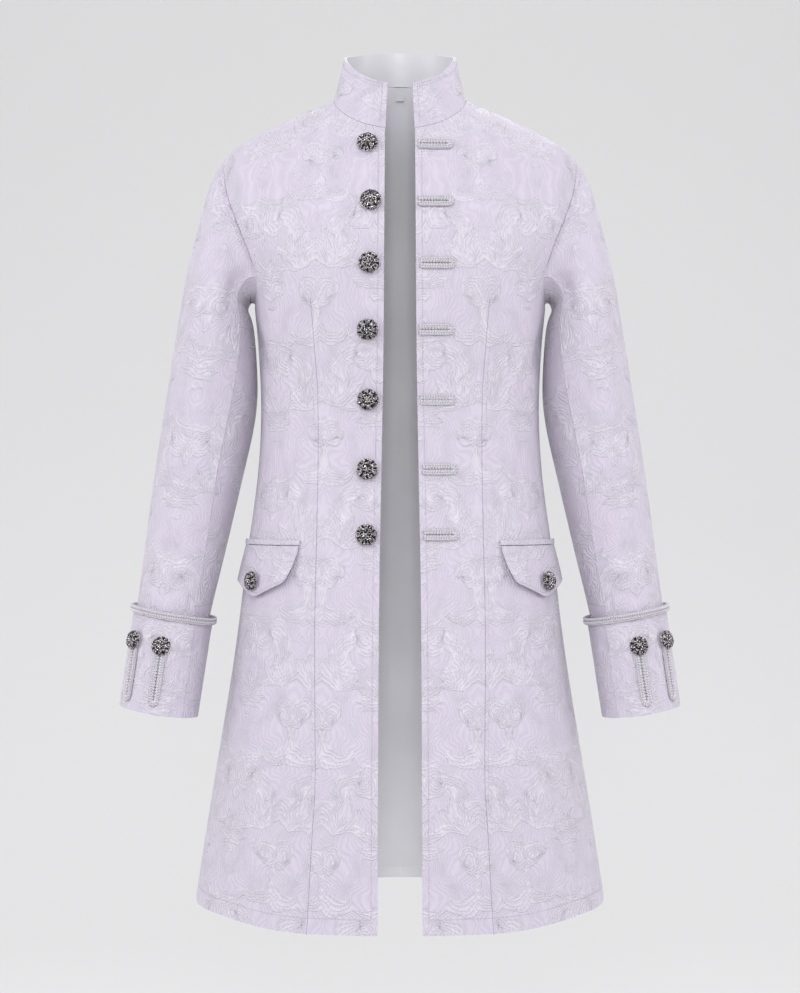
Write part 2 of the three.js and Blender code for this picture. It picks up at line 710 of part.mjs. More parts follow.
// Gimp braid along a path on a surface. surface(s, t, lift) gives the point at the path's place.
function gimpGeometry(path, surface) {
  const profile = [
    { side: -0.5, lift: 2 * SEAM },
    { side: -0.42, lift: 0.7 * GIMP.thick },
    { side: 0, lift: GIMP.thick + 2 * SEAM },
    { side: 0.42, lift: 0.7 * GIMP.thick },
    { side: 0.5, lift: 2 * SEAM },
  ];
  const rings = path.map((here, i) => {
    const before = path[Math.max(0, i - 1)];
    const after = path[Math.min(path.length - 1, i + 1)];
    const along = new THREE.Vector2(after.x - before.x, after.y - before.y).normalize();
    return profile.map((p) => {
      const aside = p.side * GIMP.wide;
      return surface(here.x - aside * along.y, here.y + aside * along.x, p.lift);
    });
  });
  const sides = profile.length;
  const points = rings.flat();
  const faces = [];
  for (let ring = 0; ring < rings.length - 1; ring += 1) {
    for (let side = 0; side < sides; side += 1) {
      const next = (side + 1) % sides;
      const a = ring * sides;
      const b = a + sides;
      faces.push(a + side, b + side, b + next, a + side, b + next, a + next);
    }
  }
  const end = points.length - sides;
  for (let side = 1; side < sides - 1; side += 1) {
    faces.push(0, side, side + 1, end, end + side + 1, end + side);
  }
  return solid(points, faces);
}

// A hairpin path from one place out to another and back, in the surface's own two directions.
function hairpin(from, to) {
  const path = [];
  const turn = to - GIMP.spread - GIMP.wide / 2;
  for (let i = 0; i < GIMP.straightSteps; i += 1) {
    path.push(new THREE.Vector2(mix(from, turn, i / GIMP.straightSteps), GIMP.spread));
  }
  for (let i = 0; i <= GIMP.turnSteps; i += 1) {
    const bend = (Math.PI * i) / GIMP.turnSteps;
    const out = turn + GIMP.spread * Math.sin(bend);
    path.push(new THREE.Vector2(out, GIMP.spread * Math.cos(bend)));
  }
  for (let i = 1; i <= GIMP.straightSteps; i += 1) {
    path.push(new THREE.Vector2(mix(turn, from, i / GIMP.straightSteps), -GIMP.spread));
  }
  return path;
}

// Braid loop on the left front, opposite a button.
function frontLoopGeometry(height) {
  const surface = (s, t, lift) => {
    const z = height + t;
    const edge = arcAtOut(z, at(FRONT_EDGE, "out", z));
    return onCoat(z, angleAtArc(z, edge + s), lift);
  };
  return gimpGeometry(hairpin(FRONT_LOOP.from, FRONT_LOOP.to), surface);
}

// Braid loop on the cuff, hanging from a cuff button towards the hand.
function cuffLoopGeometry(turn) {
  const surface = (s, t, lift) => {
    const place = (s / CUFF_TALL) * (CUFF.length - 1);
    return onCuff(place, turn - t / CUFF_ROUND, lift);
  };
  const path = hairpin(CUFF_LOOP.from * CUFF_TALL, CUFF_LOOP.to * CUFF_TALL);
  return gimpGeometry(path, surface);
}

// Braid round the top edge of the cuff, standing a little above it.
function cuffBraidGeometry() {
  const section = [
    { up: CUFF_BRAID.above, out: CUFF_BRAID.gap },
    { up: CUFF_BRAID.above * 0.8, out: CUFF_BRAID.thick * 0.75 },
    { up: -0.5, out: CUFF_BRAID.thick },
    { up: -CUFF_BRAID.below * 0.9, out: CUFF_BRAID.thick * 0.7 },
    { up: -CUFF_BRAID.below, out: CUFF_BRAID.gap },
  ];
  const points = [];
  for (let column = 0; column < ROUND_ARM; column += 1) {
    const here = onArm(CUFF, 0, armTurn(column), 0);
    const out = onArm(CUFF, 0, armTurn(column), 1).sub(here);
    const up = here.clone().sub(onArm(CUFF, 1, armTurn(column), 0)).normalize();
    section.forEach((p) => {
      points.push(here.clone().addScaledVector(out, p.out).addScaledVector(up, p.up));
    });
  }
  const sides = section.length;
  const faces = [];
  for (let column = 0; column < ROUND_ARM; column += 1) {
    for (let side = 0; side < sides; side += 1) {
      const a = column * sides;
      const b = ((column + 1) % ROUND_ARM) * sides;
      const next = (side + 1) % sides;
      faces.push(a + side, b + side, b + next, a + side, b + next, a + next);
    }
  }
  return solid(points, faces);
}

// Size label at the back of the neck, lying on the lining.
function labelGeometry() {
  const depth = LINING_DEPTH + LINING + 2 * SEAM;
  const skin = (lift) =>
    [LABEL.bottom, LABEL.top].flatMap((z) =>
      [LABEL.half, -LABEL.half].map((x) => {
        const p = onBody(z, Math.PI - angleAtOut(Math.abs(x), z), lift);
        return p.setX(x);
      }),
    );
  return wall(gridCells(1, 1), skin(-depth), skin(-depth - LABEL.thick));
}

// Domed button on a shank, turned about its own axis.
function buttonGeometry(radius) {
  const base = SHANK.tall + SHANK.gap;
  const profile = [
    [0, SHANK.gap],
    [SHANK.radius, SHANK.gap],
    [SHANK.radius, base],
    [radius * 0.9, base],
    [radius, base + 0.16 * DOME],
    [radius * 0.86, base + 0.55 * DOME],
    [radius * 0.48, base + 0.9 * DOME],
    [0, base + DOME],
  ].map(([r, h]) => new THREE.Vector2(r, h));
  return new THREE.LatheGeometry(profile, BUTTON_SIDES).rotateX(Math.PI / 2);
}

const damask = (name) =>
  new THREE.MeshStandardMaterial({ name, color: 0xe6e0ec, roughness: 0.55, metalness: 0 });
const satinLining = (name) =>
  new THREE.MeshStandardMaterial({ name, color: 0xa9a9ac, roughness: 0.5, metalness: 0 });
const gimp = (name) =>
  new THREE.MeshStandardMaterial({ name, color: 0xe4e0e2, roughness: 0.6, metalness: 0 });
const oldSilver = (name) =>
  new THREE.MeshStandardMaterial({ name, color: 0x8c8884, roughness: 0.35, metalness: 1 });

const coat = new THREE.Group();

function add(name, geometry, material, parent) {
  const mesh = new THREE.Mesh(geometry, material(name));
  mesh.name = name;
  parent.add(mesh);
  return mesh;
}

// A button whose foot is on the cloth and whose axis points away from it.
function addButton(name, radius, foot, above, parent) {
  const mesh = add(name, buttonGeometry(radius), oldSilver, parent);
  mesh.position.copy(foot);
  mesh.quaternion.setFromUnitVectors(new THREE.Vector3(0, 0, 1), above.clone().sub(foot));
  return mesh;
}

// The right side is the left one mirrored.
const sides = { left: new THREE.Group(), right: new THREE.Group() };
sides.right.scale.x = -1;
Object.entries(sides).forEach(([side, half]) => {
  coat.add(half);
  add(`front_${side}`, front, damask, half);
  add(`back_${side}`, back, damask, half);
  add(`sleeve_upper_${side}`, upperStrip(SLEEVE, true), damask, half);
  add(`sleeve_under_${side}`, underStrip(SLEEVE, true), damask, half);
  add(`cuff_upper_${side}`, cuffUpper, damask, half);
  add(`cuff_under_${side}`, cuffUnder, damask, half);
  add(`cuff_braid_${side}`, cuffBraidGeometry(), gimp, half);
  CUFF_BUTTON_TURNS.forEach((turn, i) => {
    const place = CUFF_BUTTON_DOWN * (CUFF.length - 1);
    const foot = onCuff(place, turn, 0);
    const above = onCuff(place, turn, 1);
    addButton(`cuff_button_${side}_${i + 1}`, SMALL_BUTTON, foot, above, half);
    add(`cuff_loop_${side}_${i + 1}`, cuffLoopGeometry(turn), gimp, half);
  });
  add(`pocket_welt_${side}`, weltGeometry(), damask, half);
  add(`pocket_flap_${side}`, flapGeometry(), damask, half);
  const z = FLAP.top - FLAP.point + FLAP_BUTTON.abovePoint;
  const angle = angleAtArc(z, FLAP.middle);
  const lift = FLAP_BUTTON.lift;
  const foot = onCoat(z, angle, lift);
  addButton(`flap_button_${side}`, SMALL_BUTTON, foot, onCoat(z, angle, lift + 1), half);
});

FRONT_BUTTONS.forEach(({ z, out }, i) => {
  const angle = angleAtOut(out, z);
  const foot = onCoat(z, angle, 0);
  const above = onCoat(z, angle, 1);
  addButton(`front_button_${i + 1}`, FRONT_BUTTON, foot, above, sides.right);
  add(`front_loop_${i + 1}`, frontLoopGeometry(z), gimp, sides.left);
});

add("collar", collarGeometry(0, COLLAR_CLOTH), damask, coat);
add("collar_lining", collarGeometry(COLLAR_CLOTH + SEAM, LINING), satinLining, coat);
add("lining_back", liningGeometry(), satinLining, coat);
add("label", labelGeometry(), gimp, coat);

export default coat;
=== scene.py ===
import json
import math
import random

import bmesh
import bpy
import numpy as np
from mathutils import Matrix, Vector

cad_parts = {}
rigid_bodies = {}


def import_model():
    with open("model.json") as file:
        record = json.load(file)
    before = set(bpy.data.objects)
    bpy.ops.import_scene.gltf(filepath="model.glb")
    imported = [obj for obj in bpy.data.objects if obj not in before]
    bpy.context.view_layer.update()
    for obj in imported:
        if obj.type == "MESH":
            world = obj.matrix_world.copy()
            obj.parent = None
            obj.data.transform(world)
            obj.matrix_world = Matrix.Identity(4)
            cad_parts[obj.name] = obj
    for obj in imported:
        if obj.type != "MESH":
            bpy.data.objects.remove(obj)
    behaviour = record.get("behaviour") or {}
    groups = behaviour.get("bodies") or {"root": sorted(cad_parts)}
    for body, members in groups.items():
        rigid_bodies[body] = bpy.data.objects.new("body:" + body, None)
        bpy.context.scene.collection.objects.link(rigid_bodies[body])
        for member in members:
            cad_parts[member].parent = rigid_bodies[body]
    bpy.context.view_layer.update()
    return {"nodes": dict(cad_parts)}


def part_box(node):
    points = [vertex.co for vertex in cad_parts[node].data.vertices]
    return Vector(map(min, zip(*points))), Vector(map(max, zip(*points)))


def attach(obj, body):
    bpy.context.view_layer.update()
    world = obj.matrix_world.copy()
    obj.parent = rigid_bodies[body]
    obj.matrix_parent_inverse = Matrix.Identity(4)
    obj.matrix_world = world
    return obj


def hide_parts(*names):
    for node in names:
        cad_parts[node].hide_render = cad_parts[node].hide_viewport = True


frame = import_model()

# The studio: a pale seamless paper sweep, one camera level with the middle of the coat and
# 2.4 m in front of it, soft lights high in front, on each side, behind and on the paper, a strip
# that shines in at the open front, and the white room's own light, stronger above than below.
CAMERA_PLACE = (0, -2.4, -0.475)
CAMERA_LENS = 72.5
FLOOR_HEIGHT = -1.45
PAPER_COLOUR = "#DCDCDB"
ROOM_WHITE = "#F4F4F8"
ROOM_GLOW = (0.60, 0.97)


def to_linear(colour):
    """A colour written as #RRGGBB in sRGB, as the linear values that a shader takes."""
    parts = [int(colour[i:i + 2], 16) / 255 for i in (1, 3, 5)]
    return [p / 12.92 if p <= 0.04045 else ((p + 0.055) / 1.055) ** 2.4 for p in parts] + [1]


def add_node(tree, kind, inputs=None, **settings):
    """Adds one shader node, with its settings, its inputs' values and the links into it."""
    made = tree.nodes.new("ShaderNode" + kind)
    for name, value in settings.items():
        setattr(made, name, value)
    for name, value in (inputs or {}).items():
        if isinstance(value, bpy.types.NodeSocket):
            tree.links.new(value, made.inputs[name])
        else:
            made.inputs[name].default_value = value
    return made


def calc(tree, operation, *values, **settings):
    """One step of arithmetic on these values, in a shader."""
    made = add_node(tree, "Math", dict(enumerate(values)), operation=operation, **settings)
    return made.outputs[0]


camera_data = bpy.data.cameras.new("camera")
camera_data.lens = CAMERA_LENS
camera_data.clip_end = 50
camera = bpy.data.objects.new("camera", camera_data)
camera.location = CAMERA_PLACE
camera.rotation_euler = (math.pi / 2, 0, 0)
bpy.context.scene.collection.objects.link(camera)
bpy.context.scene.camera = camera

bpy.ops.object.select_all(action="DESELECT")
bpy.ops.mesh.primitive_plane_add(size=1, location=(0, 0, FLOOR_HEIGHT))
paper = bpy.context.object
paper.name = "paper_sweep"
bpy.ops.object.mode_set(mode="EDIT")
bpy.ops.transform.resize(value=(14, 9, 1))
bpy.ops.mesh.select_all(action="DESELECT")
shape = bmesh.from_edit_mesh(paper.data)
for edge in shape.edges:
    edge.select = all(v.co.y > 0 for v in edge.verts)
bmesh.update_edit_mesh(paper.data)
bpy.ops.mesh.extrude_region_move(TRANSFORM_OT_translate={"value": (0, 0, 8)})
bpy.ops.object.mode_set(mode="OBJECT")
bend = paper.modifiers.new("sweep", "BEVEL")
bend.width = 2.5
bend.segments = 16
bend.limit_method = "ANGLE"
bpy.ops.object.modifier_apply(modifier="sweep")
bpy.ops.object.shade_smooth()
bpy.ops.object.transform_apply(location=True, rotation=True, scale=True)

# Paper: matt, with a faint tooth that keeps it from looking like a screen.
paper_stock = bpy.data.materials.new("seamless_paper")
paper_stock.use_nodes = True
tree = paper_stock.node_tree
shader = tree.nodes["Principled BSDF"]
place = add_node(tree, "TexCoord").outputs["Object"]
tooth = add_node(tree, "TexNoise", {"Vector": place, "Scale": 900.0, "Detail": 2.0})
rise = add_node(tree, "Bump", {"Height": tooth.outputs[0], "Strength": 0.05, "Distance": 0.0005})
tree.links.new(rise.outputs[0], shader.inputs["Normal"])
shader.inputs["Base Color"].default_value = to_linear(PAPER_COLOUR)
shader.inputs["Roughness"].default_value = 0.95
shader.inputs["Specular IOR Level"].default_value = 0.2
paper.data.materials.append(paper_stock)

# name, place, aimed at, width, height, watts
LIGHTS = [
    ("high_key", (-0.5, -2.2, 1.3), (0, 0, -0.25), 1.8, 1.0, 8),
    ("front_strip", (0.0, -2.7, 0.25), (0, 0, -0.1), 0.3, 1.2, 16),
    ("left_fill", (-2.8, -1.2, 0.5), (0, 0, -0.25), 1.0, 1.2, 20),
    ("right_fill", (2.8, -1.2, 0.5), (0, 0, -0.25), 1.0, 1.2, 19),
    ("back_rim", (0.6, 1.9, 1.6), (0, 0, -0.3), 2.4, 1.0, 14),
    ("paper_left", (-1.7, 0.9, 1.4), (-0.3, 3.0, 0.9), 1.6, 0.8, 12),
    ("paper_right", (1.7, 0.9, 1.4), (0.3, 3.0, 0.9), 1.6, 0.8, 12),
]
for name, place, aim, width, height, watts in LIGHTS:
    lamp_data = bpy.data.lights.new(name, "AREA")
    lamp_data.shape = "RECTANGLE"
    lamp_data.size, lamp_data.size_y = width, height
    lamp_data.energy = watts
    lamp = bpy.data.objects.new(name, lamp_data)
    lamp.location = place
    lamp.rotation_euler = (Vector(aim) - Vector(place)).to_track_quat("-Z", "Y").to_euler()
    bpy.context.scene.collection.objects.link(lamp)

world = bpy.data.worlds.new("white_room")
world.use_nodes = True
background = world.node_tree.nodes["Background"]
background.inputs["Color"].default_value = to_linear(ROOM_WHITE)
world_way = add_node(world.node_tree, "TexCoord").outputs["Generated"]
world_height = add_node(world.node_tree, "SeparateXYZ", {0: world_way}).outputs[2]
glow = add_node(world.node_tree, "MapRange",
                {0: world_height, 1: -0.5, 2: 0.5, 3: ROOM_GLOW[0], 4: ROOM_GLOW[1]})
world.node_tree.links.new(glow.outputs[0], background.inputs["Strength"])
bpy.context.scene.world = world
bpy.context.scene.view_settings.view_transform = "Standard"
bpy.context.scene.view_settings.look = "None"

# The coat's shell: fronts, backs, sleeves and cuffs in white satin damask, cut with the figure
# upright and the two sides matched. Each piece is the outer face of its solid, opened flat for
# its figure, rounded, creased along listed folds and given the cloth's thickness.
CLOTH_THICK = 0.002
JOIN_WITHIN = 0.00003
SHARP_CORNER = math.radians(125)
DAMASK_GROUND = "#C7BFCE"
# The figure's colour is the ground's own thread with the satin's sheen painted in as a lighter
# tone.
DAMASK_FIGURE_PAINTED_SHEEN = "#E4DFE8"
LINING_GREY = "#E2E1E5"
COLLAR_SATIN = "#D4D3D8"


def only(piece):
    """Makes a piece the one selected object."""
    bpy.ops.object.select_all(action="DESELECT")
    piece.select_set(True)
    bpy.context.view_layer.objects.active = piece


def joined_copy(node, name):
    """A bare copy of a solid with its points joined up, left in edit mode, all selected."""
    piece = bpy.data.objects.new(name, frame["nodes"][node].data.copy())
    bpy.context.scene.collection.objects.link(piece)
    piece.data.name = name
    piece.data.materials.clear()
    only(piece)
    if piece.data.has_custom_normals:
        bpy.ops.mesh.customdata_custom_splitnormals_clear()
    bpy.ops.object.mode_set(mode="EDIT")
    bpy.ops.mesh.select_all(action="SELECT")
    bpy.ops.mesh.remove_doubles(threshold=JOIN_WITHIN)
    return piece


def outer_face(node, name, middle, thick=CLOTH_THICK):
    """The outer face of a solid's copy, in four-cornered cells. middle is a point inside the
    hollow that the face bends round, and thick is the solid's own thickness."""
    piece = joined_copy(node, name)
    bpy.ops.mesh.select_all(action="DESELECT")
    shape = bmesh.from_edit_mesh(piece.data)
    for edge in shape.edges:
        one, other = edge.verts
        along = (one.co - other.co).normalized()
        long = edge.calc_length()
        across = long < 1.7 * thick and abs(along.dot(one.normal)) > 0.35
        if across or abs(long - thick) < 0.00002:
            for face in edge.link_faces:
                face.select = True
    bmesh.update_edit_mesh(piece.data)
    bpy.ops.mesh.delete(type="FACE")
    shape = bmesh.from_edit_mesh(piece.data)
    away = lambda f: (f.calc_center_median() - Vector(middle)).to_2d()
    max(shape.faces, key=lambda f: f.normal.to_2d().dot(away(f))).select = True
    bmesh.update_edit_mesh(piece.data)
    bpy.ops.mesh.select_linked()
    bpy.ops.mesh.select_all(action="INVERT")
    bpy.ops.mesh.delete(type="FACE")
    bpy.ops.mesh.select_all(action="SELECT")
    bpy.ops.mesh.tris_convert_to_quads(face_threshold=1.0, shape_threshold=3.1)
    bpy.ops.object.mode_set(mode="OBJECT")
    while piece.data.uv_layers:
        piece.data.uv_layers.remove(piece.data.uv_layers[0])
    # The cut's corners are marked, so that rounding keeps them sharp.
    uses, beside = {}, {}
    for face in piece.data.polygons:
        for key in face.edge_keys:
            uses[key] = uses.get(key, 0) + 1
    for one, other in (key for key, count in uses.items() if count == 1):
        beside.setdefault(one, []).append(other)
        beside.setdefault(other, []).append(one)
    marks = piece.data.attributes.new("crease_vert", "FLOAT", "POINT")
    for corner, ends in beside.items():
        ways = [piece.data.vertices[end].co - piece.data.vertices[corner].co for end in ends]
        if len(ways) == 2 and ways[0].angle(ways[1]) < SHARP_CORNER:
            marks.data[corner].value = 1.0
    return piece


def lay_flat(piece, start):
    """Opens the piece flat, as its pattern piece lies on the cloth: metres, grain upright, and
    start at (0, 0). The flat piece is the UV map that the weave follows."""
    only(piece)
    piece.data.uv_layers.new(name="cloth")
    bpy.ops.object.mode_set(mode="EDIT")
    bpy.ops.mesh.select_all(action="SELECT")
    bpy.ops.uv.unwrap(method="ANGLE_BASED", margin=0)
    bpy.ops.object.mode_set(mode="OBJECT")
    mesh = piece.data
    flat = np.zeros(len(mesh.loops) * 2)
    mesh.uv_layers["cloth"].data.foreach_get("uv", flat)
    flat = flat.reshape(-1, 2)
    corner = np.zeros(len(mesh.loops), int)
    mesh.loops.foreach_get("vertex_index", corner)
    points = np.zeros(len(mesh.vertices) * 3)
    mesh.vertices.foreach_get("co", points)
    points = points.reshape(-1, 3)[corner]
    area = sum(f.area for f in mesh.polygons)
    flat_area = 0
    for f in mesh.polygons:
        ring = flat[list(f.loop_indices)]
        after = np.roll(ring, -1, 0)
        flat_area += 0.5 * float(np.sum(ring[:, 0] * after[:, 1] - after[:, 0] * ring[:, 1]))
    fit = np.linalg.lstsq(np.c_[flat, np.ones(len(flat))], points[:, 2], rcond=None)[0]
    turn = math.atan2(fit[0], fit[1])
    cos, sin = math.cos(turn), math.sin(turn)
    flat = flat @ np.array([[cos, sin], [-sin, cos]]) * math.sqrt(area / abs(flat_area))
    flat -= flat[np.argmin(np.linalg.norm(points - np.array(start), axis=1))]
    mesh.uv_layers["cloth"].data.foreach_set("uv", flat.ravel())
    return area


def other_side(piece, name):
    """The same piece for the wearer's right, turned over, its figure mirrored with it."""
    copy = piece.copy()
    copy.data = piece.data.copy()
    copy.name = copy.data.name = name
    bpy.context.scene.collection.objects.link(copy)
    only(copy)
    bpy.ops.object.mode_set(mode="EDIT")
    bpy.ops.mesh.select_all(action="SELECT")
    bpy.ops.transform.resize(value=(-1, 1, 1), center_override=(0, 0, 0))
    bpy.ops.mesh.flip_normals()
    bpy.ops.object.mode_set(mode="OBJECT")
    return copy


def apply(piece, kind, **settings):
    """Adds one modifier with its settings and applies it."""
    only(piece)
    made = piece.modifiers.new(kind.lower(), kind)
    for name, value in settings.items():
        setattr(made, name, value)
    bpy.ops.object.modifier_apply(modifier=made.name)


def crease(piece, folds, seen_from=(0, -1)):
    """Pushes soft folds into a rounded piece. A fold is a line of (x, z) places, in metres, its
    half width and its rise, in millimetres: above 0 a ridge and below 0 a trough. seen_from is
    the way that the cloth faces, so that the cloth behind it stays smooth."""
    mesh = piece.data
    count = len(mesh.vertices)
    points, normals = np.zeros(count * 3), np.zeros(count * 3)
    mesh.vertices.foreach_get("co", points)
    mesh.vertices.foreach_get("normal", normals)
    points, normals = points.reshape(-1, 3), normals.reshape(-1, 3)
    side = np.array(seen_from) / np.hypot(*seen_from)
    faces = np.clip((normals[:, :2] @ side) * 2.5 + 0.3, 0, 1)
    across = points[:, :2] @ np.array([-side[1], side[0]])
    spots = np.c_[across, points[:, 2]]
    lift = np.zeros(count)
    for line, half_width, rise in folds:
        line = np.array(line, float)
        reach = np.r_[0, np.cumsum(np.linalg.norm(np.diff(line, axis=0), axis=1))]
        nearest, along = np.full(count, 9.0), np.zeros(count)
        for start, end, gone in zip(line, line[1:], reach):
            leg = end - start
            share = np.clip((spots - start) @ leg / (leg @ leg), 0, 1)
            gap = np.linalg.norm(spots - start - share[:, None] * leg, axis=1)
            closer = gap < nearest
            nearest[closer] = gap[closer]
            along[closer] = (gone + share * np.linalg.norm(leg))[closer] / reach[-1]
        fade = np.sin(np.pi * np.clip(along, 0.001, 0.999)) ** 0.6
        profile = np.exp(-((nearest * 1000 / half_width) ** 2))
        lift += rise / 1000 * profile * fade
    points += normals * (lift * faces)[:, None]
    mesh.vertices.foreach_set("co", points.ravel())
    mesh.update()


def finish_cloth(piece, thick, cloth, inside, node):
    """Gives a rounded piece its thickness, its outer and inner cloth and its place in the frame."""
    piece.data.materials.append(cloth)
    piece.data.materials.append(inside)
    apply(piece, "SOLIDIFY", thickness=thick, offset=-1, use_even_offset=False, material_offset=1,
          material_offset_rim=0)
    only(piece)
    bpy.ops.object.shade_smooth_by_angle(angle=math.radians(50))
    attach(piece, "root")
    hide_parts(node)


def tinted(finish, name, colour):
    """A copy of a finish with its one plain colour changed."""
    made = finish.copy()
    made.name = name
    for node in made.node_tree.nodes:
        if node.type == "RGB":
            node.outputs[0].default_value = to_linear(colour)
    return made


def new_finish(name):
    """A new material, its node tree, its shader and its surface coordinates: the cloth's flat
    UV map for woven stuff, the object's own for the rest."""
    finish = bpy.data.materials.new(name)
    finish.use_nodes = True
    tree = finish.node_tree
    coords = add_node(tree, "TexCoord").outputs
    return finish, tree, tree.nodes["Principled BSDF"], coords


# Satin damask, woven in one colour: the figure is drawn in fine raised ribs, close together, on a
# ground that is hardly darker. The figure's lighter tone and the shine of its ribs and swirls are
# painted sheen and painted highlights in the base colour. Its repeat is 132 mm wide, turned over at
# its edges, and 162 mm tall, and it is never quite the same twice. All its sizes are in
# millimetres.
REPEAT_HALF_WIDTH = 66.0
REPEAT_HALF_HEIGHT = 81.0
RIB_SPACING = 1.9
LEAF_SWEEP = 0.011
# kind, place (x, z), turn in degrees, size, three shape numbers
# shell: how far it swells from its hinge and how far its ribs sit off the middle, as shares, and 0
# fan: leaves, half angle, leaf's width | scroll: how the radius grows, half width, half angle
FIGURES = [
    ("scroll", (33, 34), 60, 29.0, (5.0, 9.4, 115)),
    ("scroll", (14, -52), 205, 27.0, (4.8, 9.0, 120)),
    ("scroll", (54, -58), 330, 24.0, (4.4, 8.6, 115)),
    ("fan", (0, -24), 90, 52.0, (7, 88, 7.6)),
    ("fan", (62, 4), 110, 46.0, (5, 74, 7.6)),
    ("shell", (0, 34), 100, 27.0, (0.42, 0.3, 0)),
    ("shell", (62, -30), 40, 24.0, (0.45, 0.3, 0)),
    ("shell", (34, 62), 190, 26.0, (0.5, 0.3, 0)),
]
damask, tree, shader, coords = new_finish("white_satin_damask")
cloth_mm = add_node(tree, "VectorMath", {0: coords["UV"], "Scale": 1000.0}, operation="SCALE")
flat_place = add_node(tree, "SeparateXYZ", {0: cloth_mm.outputs[0]}).outputs
folded = calc(tree, "PINGPONG", flat_place[0], REPEAT_HALF_WIDTH)
regular = add_node(tree, "CombineXYZ", {0: folded, 1: flat_place[1]}).outputs[0]
waver = add_node(tree, "TexNoise", {"Vector": cloth_mm.outputs[0], "Scale": 0.03}).outputs[1]
in_repeat = add_node(tree, "VectorMath", {0: waver, 1: (22, 22, 0), 2: regular},
                     operation="MULTIPLY_ADD").outputs[0]

figure_height = None
outline = None
for kind, (x, z), turn, size, (count, spread, width) in FIGURES:
    moved = add_node(tree, "VectorMath", {0: in_repeat, 1: (x, z, 0)}, operation="SUBTRACT")
    wrapped = add_node(tree, "VectorMath", {0: moved.outputs[0],
                       1: (900, REPEAT_HALF_HEIGHT, 1), 2: (-900, -REPEAT_HALF_HEIGHT, -1)},
                       operation="WRAP")
    turned = add_node(tree, "VectorRotate", {0: wrapped.outputs[0],
                      "Angle": -math.radians(turn)}, rotation_type="Z_AXIS")
    local = add_node(tree, "SeparateXYZ", {0: turned.outputs[0]}).outputs
    reach = add_node(tree, "VectorMath", {0: wrapped.outputs[0]}, operation="LENGTH").outputs[1]
    angle = calc(tree, "ARCTAN2", local[1], local[0])
    if kind == "shell":
        # Shells: ribs round a point near their hinge, inside an outline that swells away from it.
        ahead = calc(tree, "COSINE", angle)
        grown = calc(tree, "MULTIPLY_ADD", ahead, size * count, size * (1 - count))
        edge = calc(tree, "SUBTRACT", grown, reach)
        off = calc(tree, "MULTIPLY_ADD", ahead, -size * spread, reach)
        line_at = calc(tree, "PINGPONG", off, RIB_SPACING)
    elif kind == "fan":
        # Leaves: the half turn folded into equal wedges, a pointed leaf up the middle of each.
        wedge = math.radians(spread) / count
        swept = calc(tree, "MULTIPLY_ADD", reach, LEAF_SWEEP, angle)
        outer = calc(tree, "PINGPONG", swept, wedge)
        aside = calc(tree, "SINE", outer)
        off = calc(tree, "MULTIPLY", aside, reach)
        turned_off = calc(tree, "COSINE", angle)
        longest = calc(tree, "MULTIPLY_ADD", turned_off, size * 0.4, size * 0.6)
        along = calc(tree, "DIVIDE", reach, longest, use_clamp=True)
        rounded = calc(tree, "MULTIPLY", along, math.pi)
        belly = calc(tree, "SINE", rounded)
        half = calc(tree, "MULTIPLY", belly, width)
        leaf = calc(tree, "SUBTRACT", half, off)
        cut = calc(tree, "ABSOLUTE", angle)
        within = calc(tree, "SUBTRACT", math.radians(spread), cut)
        beside = calc(tree, "MULTIPLY", within, reach)
        beyond = calc(tree, "SUBTRACT", longest, reach)
        limit = calc(tree, "MINIMUM", beside, beyond)
        edge = calc(tree, "MINIMUM", leaf, limit)
        line_at = calc(tree, "PINGPONG", off, RIB_SPACING)
    else:
        # Scrolls: a band along a spiral, with lines that run with it and ends that taper.
        grown = calc(tree, "MULTIPLY_ADD", angle, count, size)
        off = calc(tree, "SUBTRACT", reach, grown)
        aside = calc(tree, "ABSOLUTE", off)
        eased = calc(tree, "MULTIPLY", angle, 90 / width)
        taper = calc(tree, "COSINE", eased)
        half = calc(tree, "MULTIPLY", taper, spread)
        band = calc(tree, "SUBTRACT", half, aside)
        cut = calc(tree, "ABSOLUTE", angle)
        within = calc(tree, "SUBTRACT", math.radians(width), cut)
        limit = calc(tree, "MULTIPLY", within, reach)
        edge = calc(tree, "MINIMUM", band, limit)
        line_at = calc(tree, "PINGPONG", aside, RIB_SPACING)
    inner_line = add_node(tree, "MapRange", {0: line_at, 1: 0.1, 2: 1.3, 3: 0.8, 4: 0.0},
                          interpolation_type="SMOOTHSTEP").outputs[0]
    inside = add_node(tree, "MapRange", {0: edge, 1: 0.0, 2: 0.9, 3: 0.0, 4: 1.0}).outputs[0]
    veins = calc(tree, "MULTIPLY", inner_line, inside)
    border = calc(tree, "ABSOLUTE", edge)
    rim = add_node(tree, "MapRange", {0: border, 1: 0.1, 2: 1.3, 3: 1.0, 4: 0.0}).outputs[0]
    lines = calc(tree, "MAXIMUM", veins, rim)
    if outline is None:
        outline, figure_height = lines, inside
    else:
        # A figure that comes later lies over the ones before it.
        kept = calc(tree, "SUBTRACT", 1.0, inside)
        below = calc(tree, "MULTIPLY", outline, kept)
        outline = calc(tree, "MAXIMUM", below, lines)
        figure_height = calc(tree, "MAXIMUM", figure_height, inside)

# Between the figures run finer swirling ribs, 4 mm apart, that are pressed in less deeply.
swirl = add_node(tree, "TexWave", {"Vector": in_repeat, "Scale": 0.08, "Distortion": 30.0,
                 "Detail": 0.0, "Detail Scale": 0.42}, bands_direction="X").outputs[1]
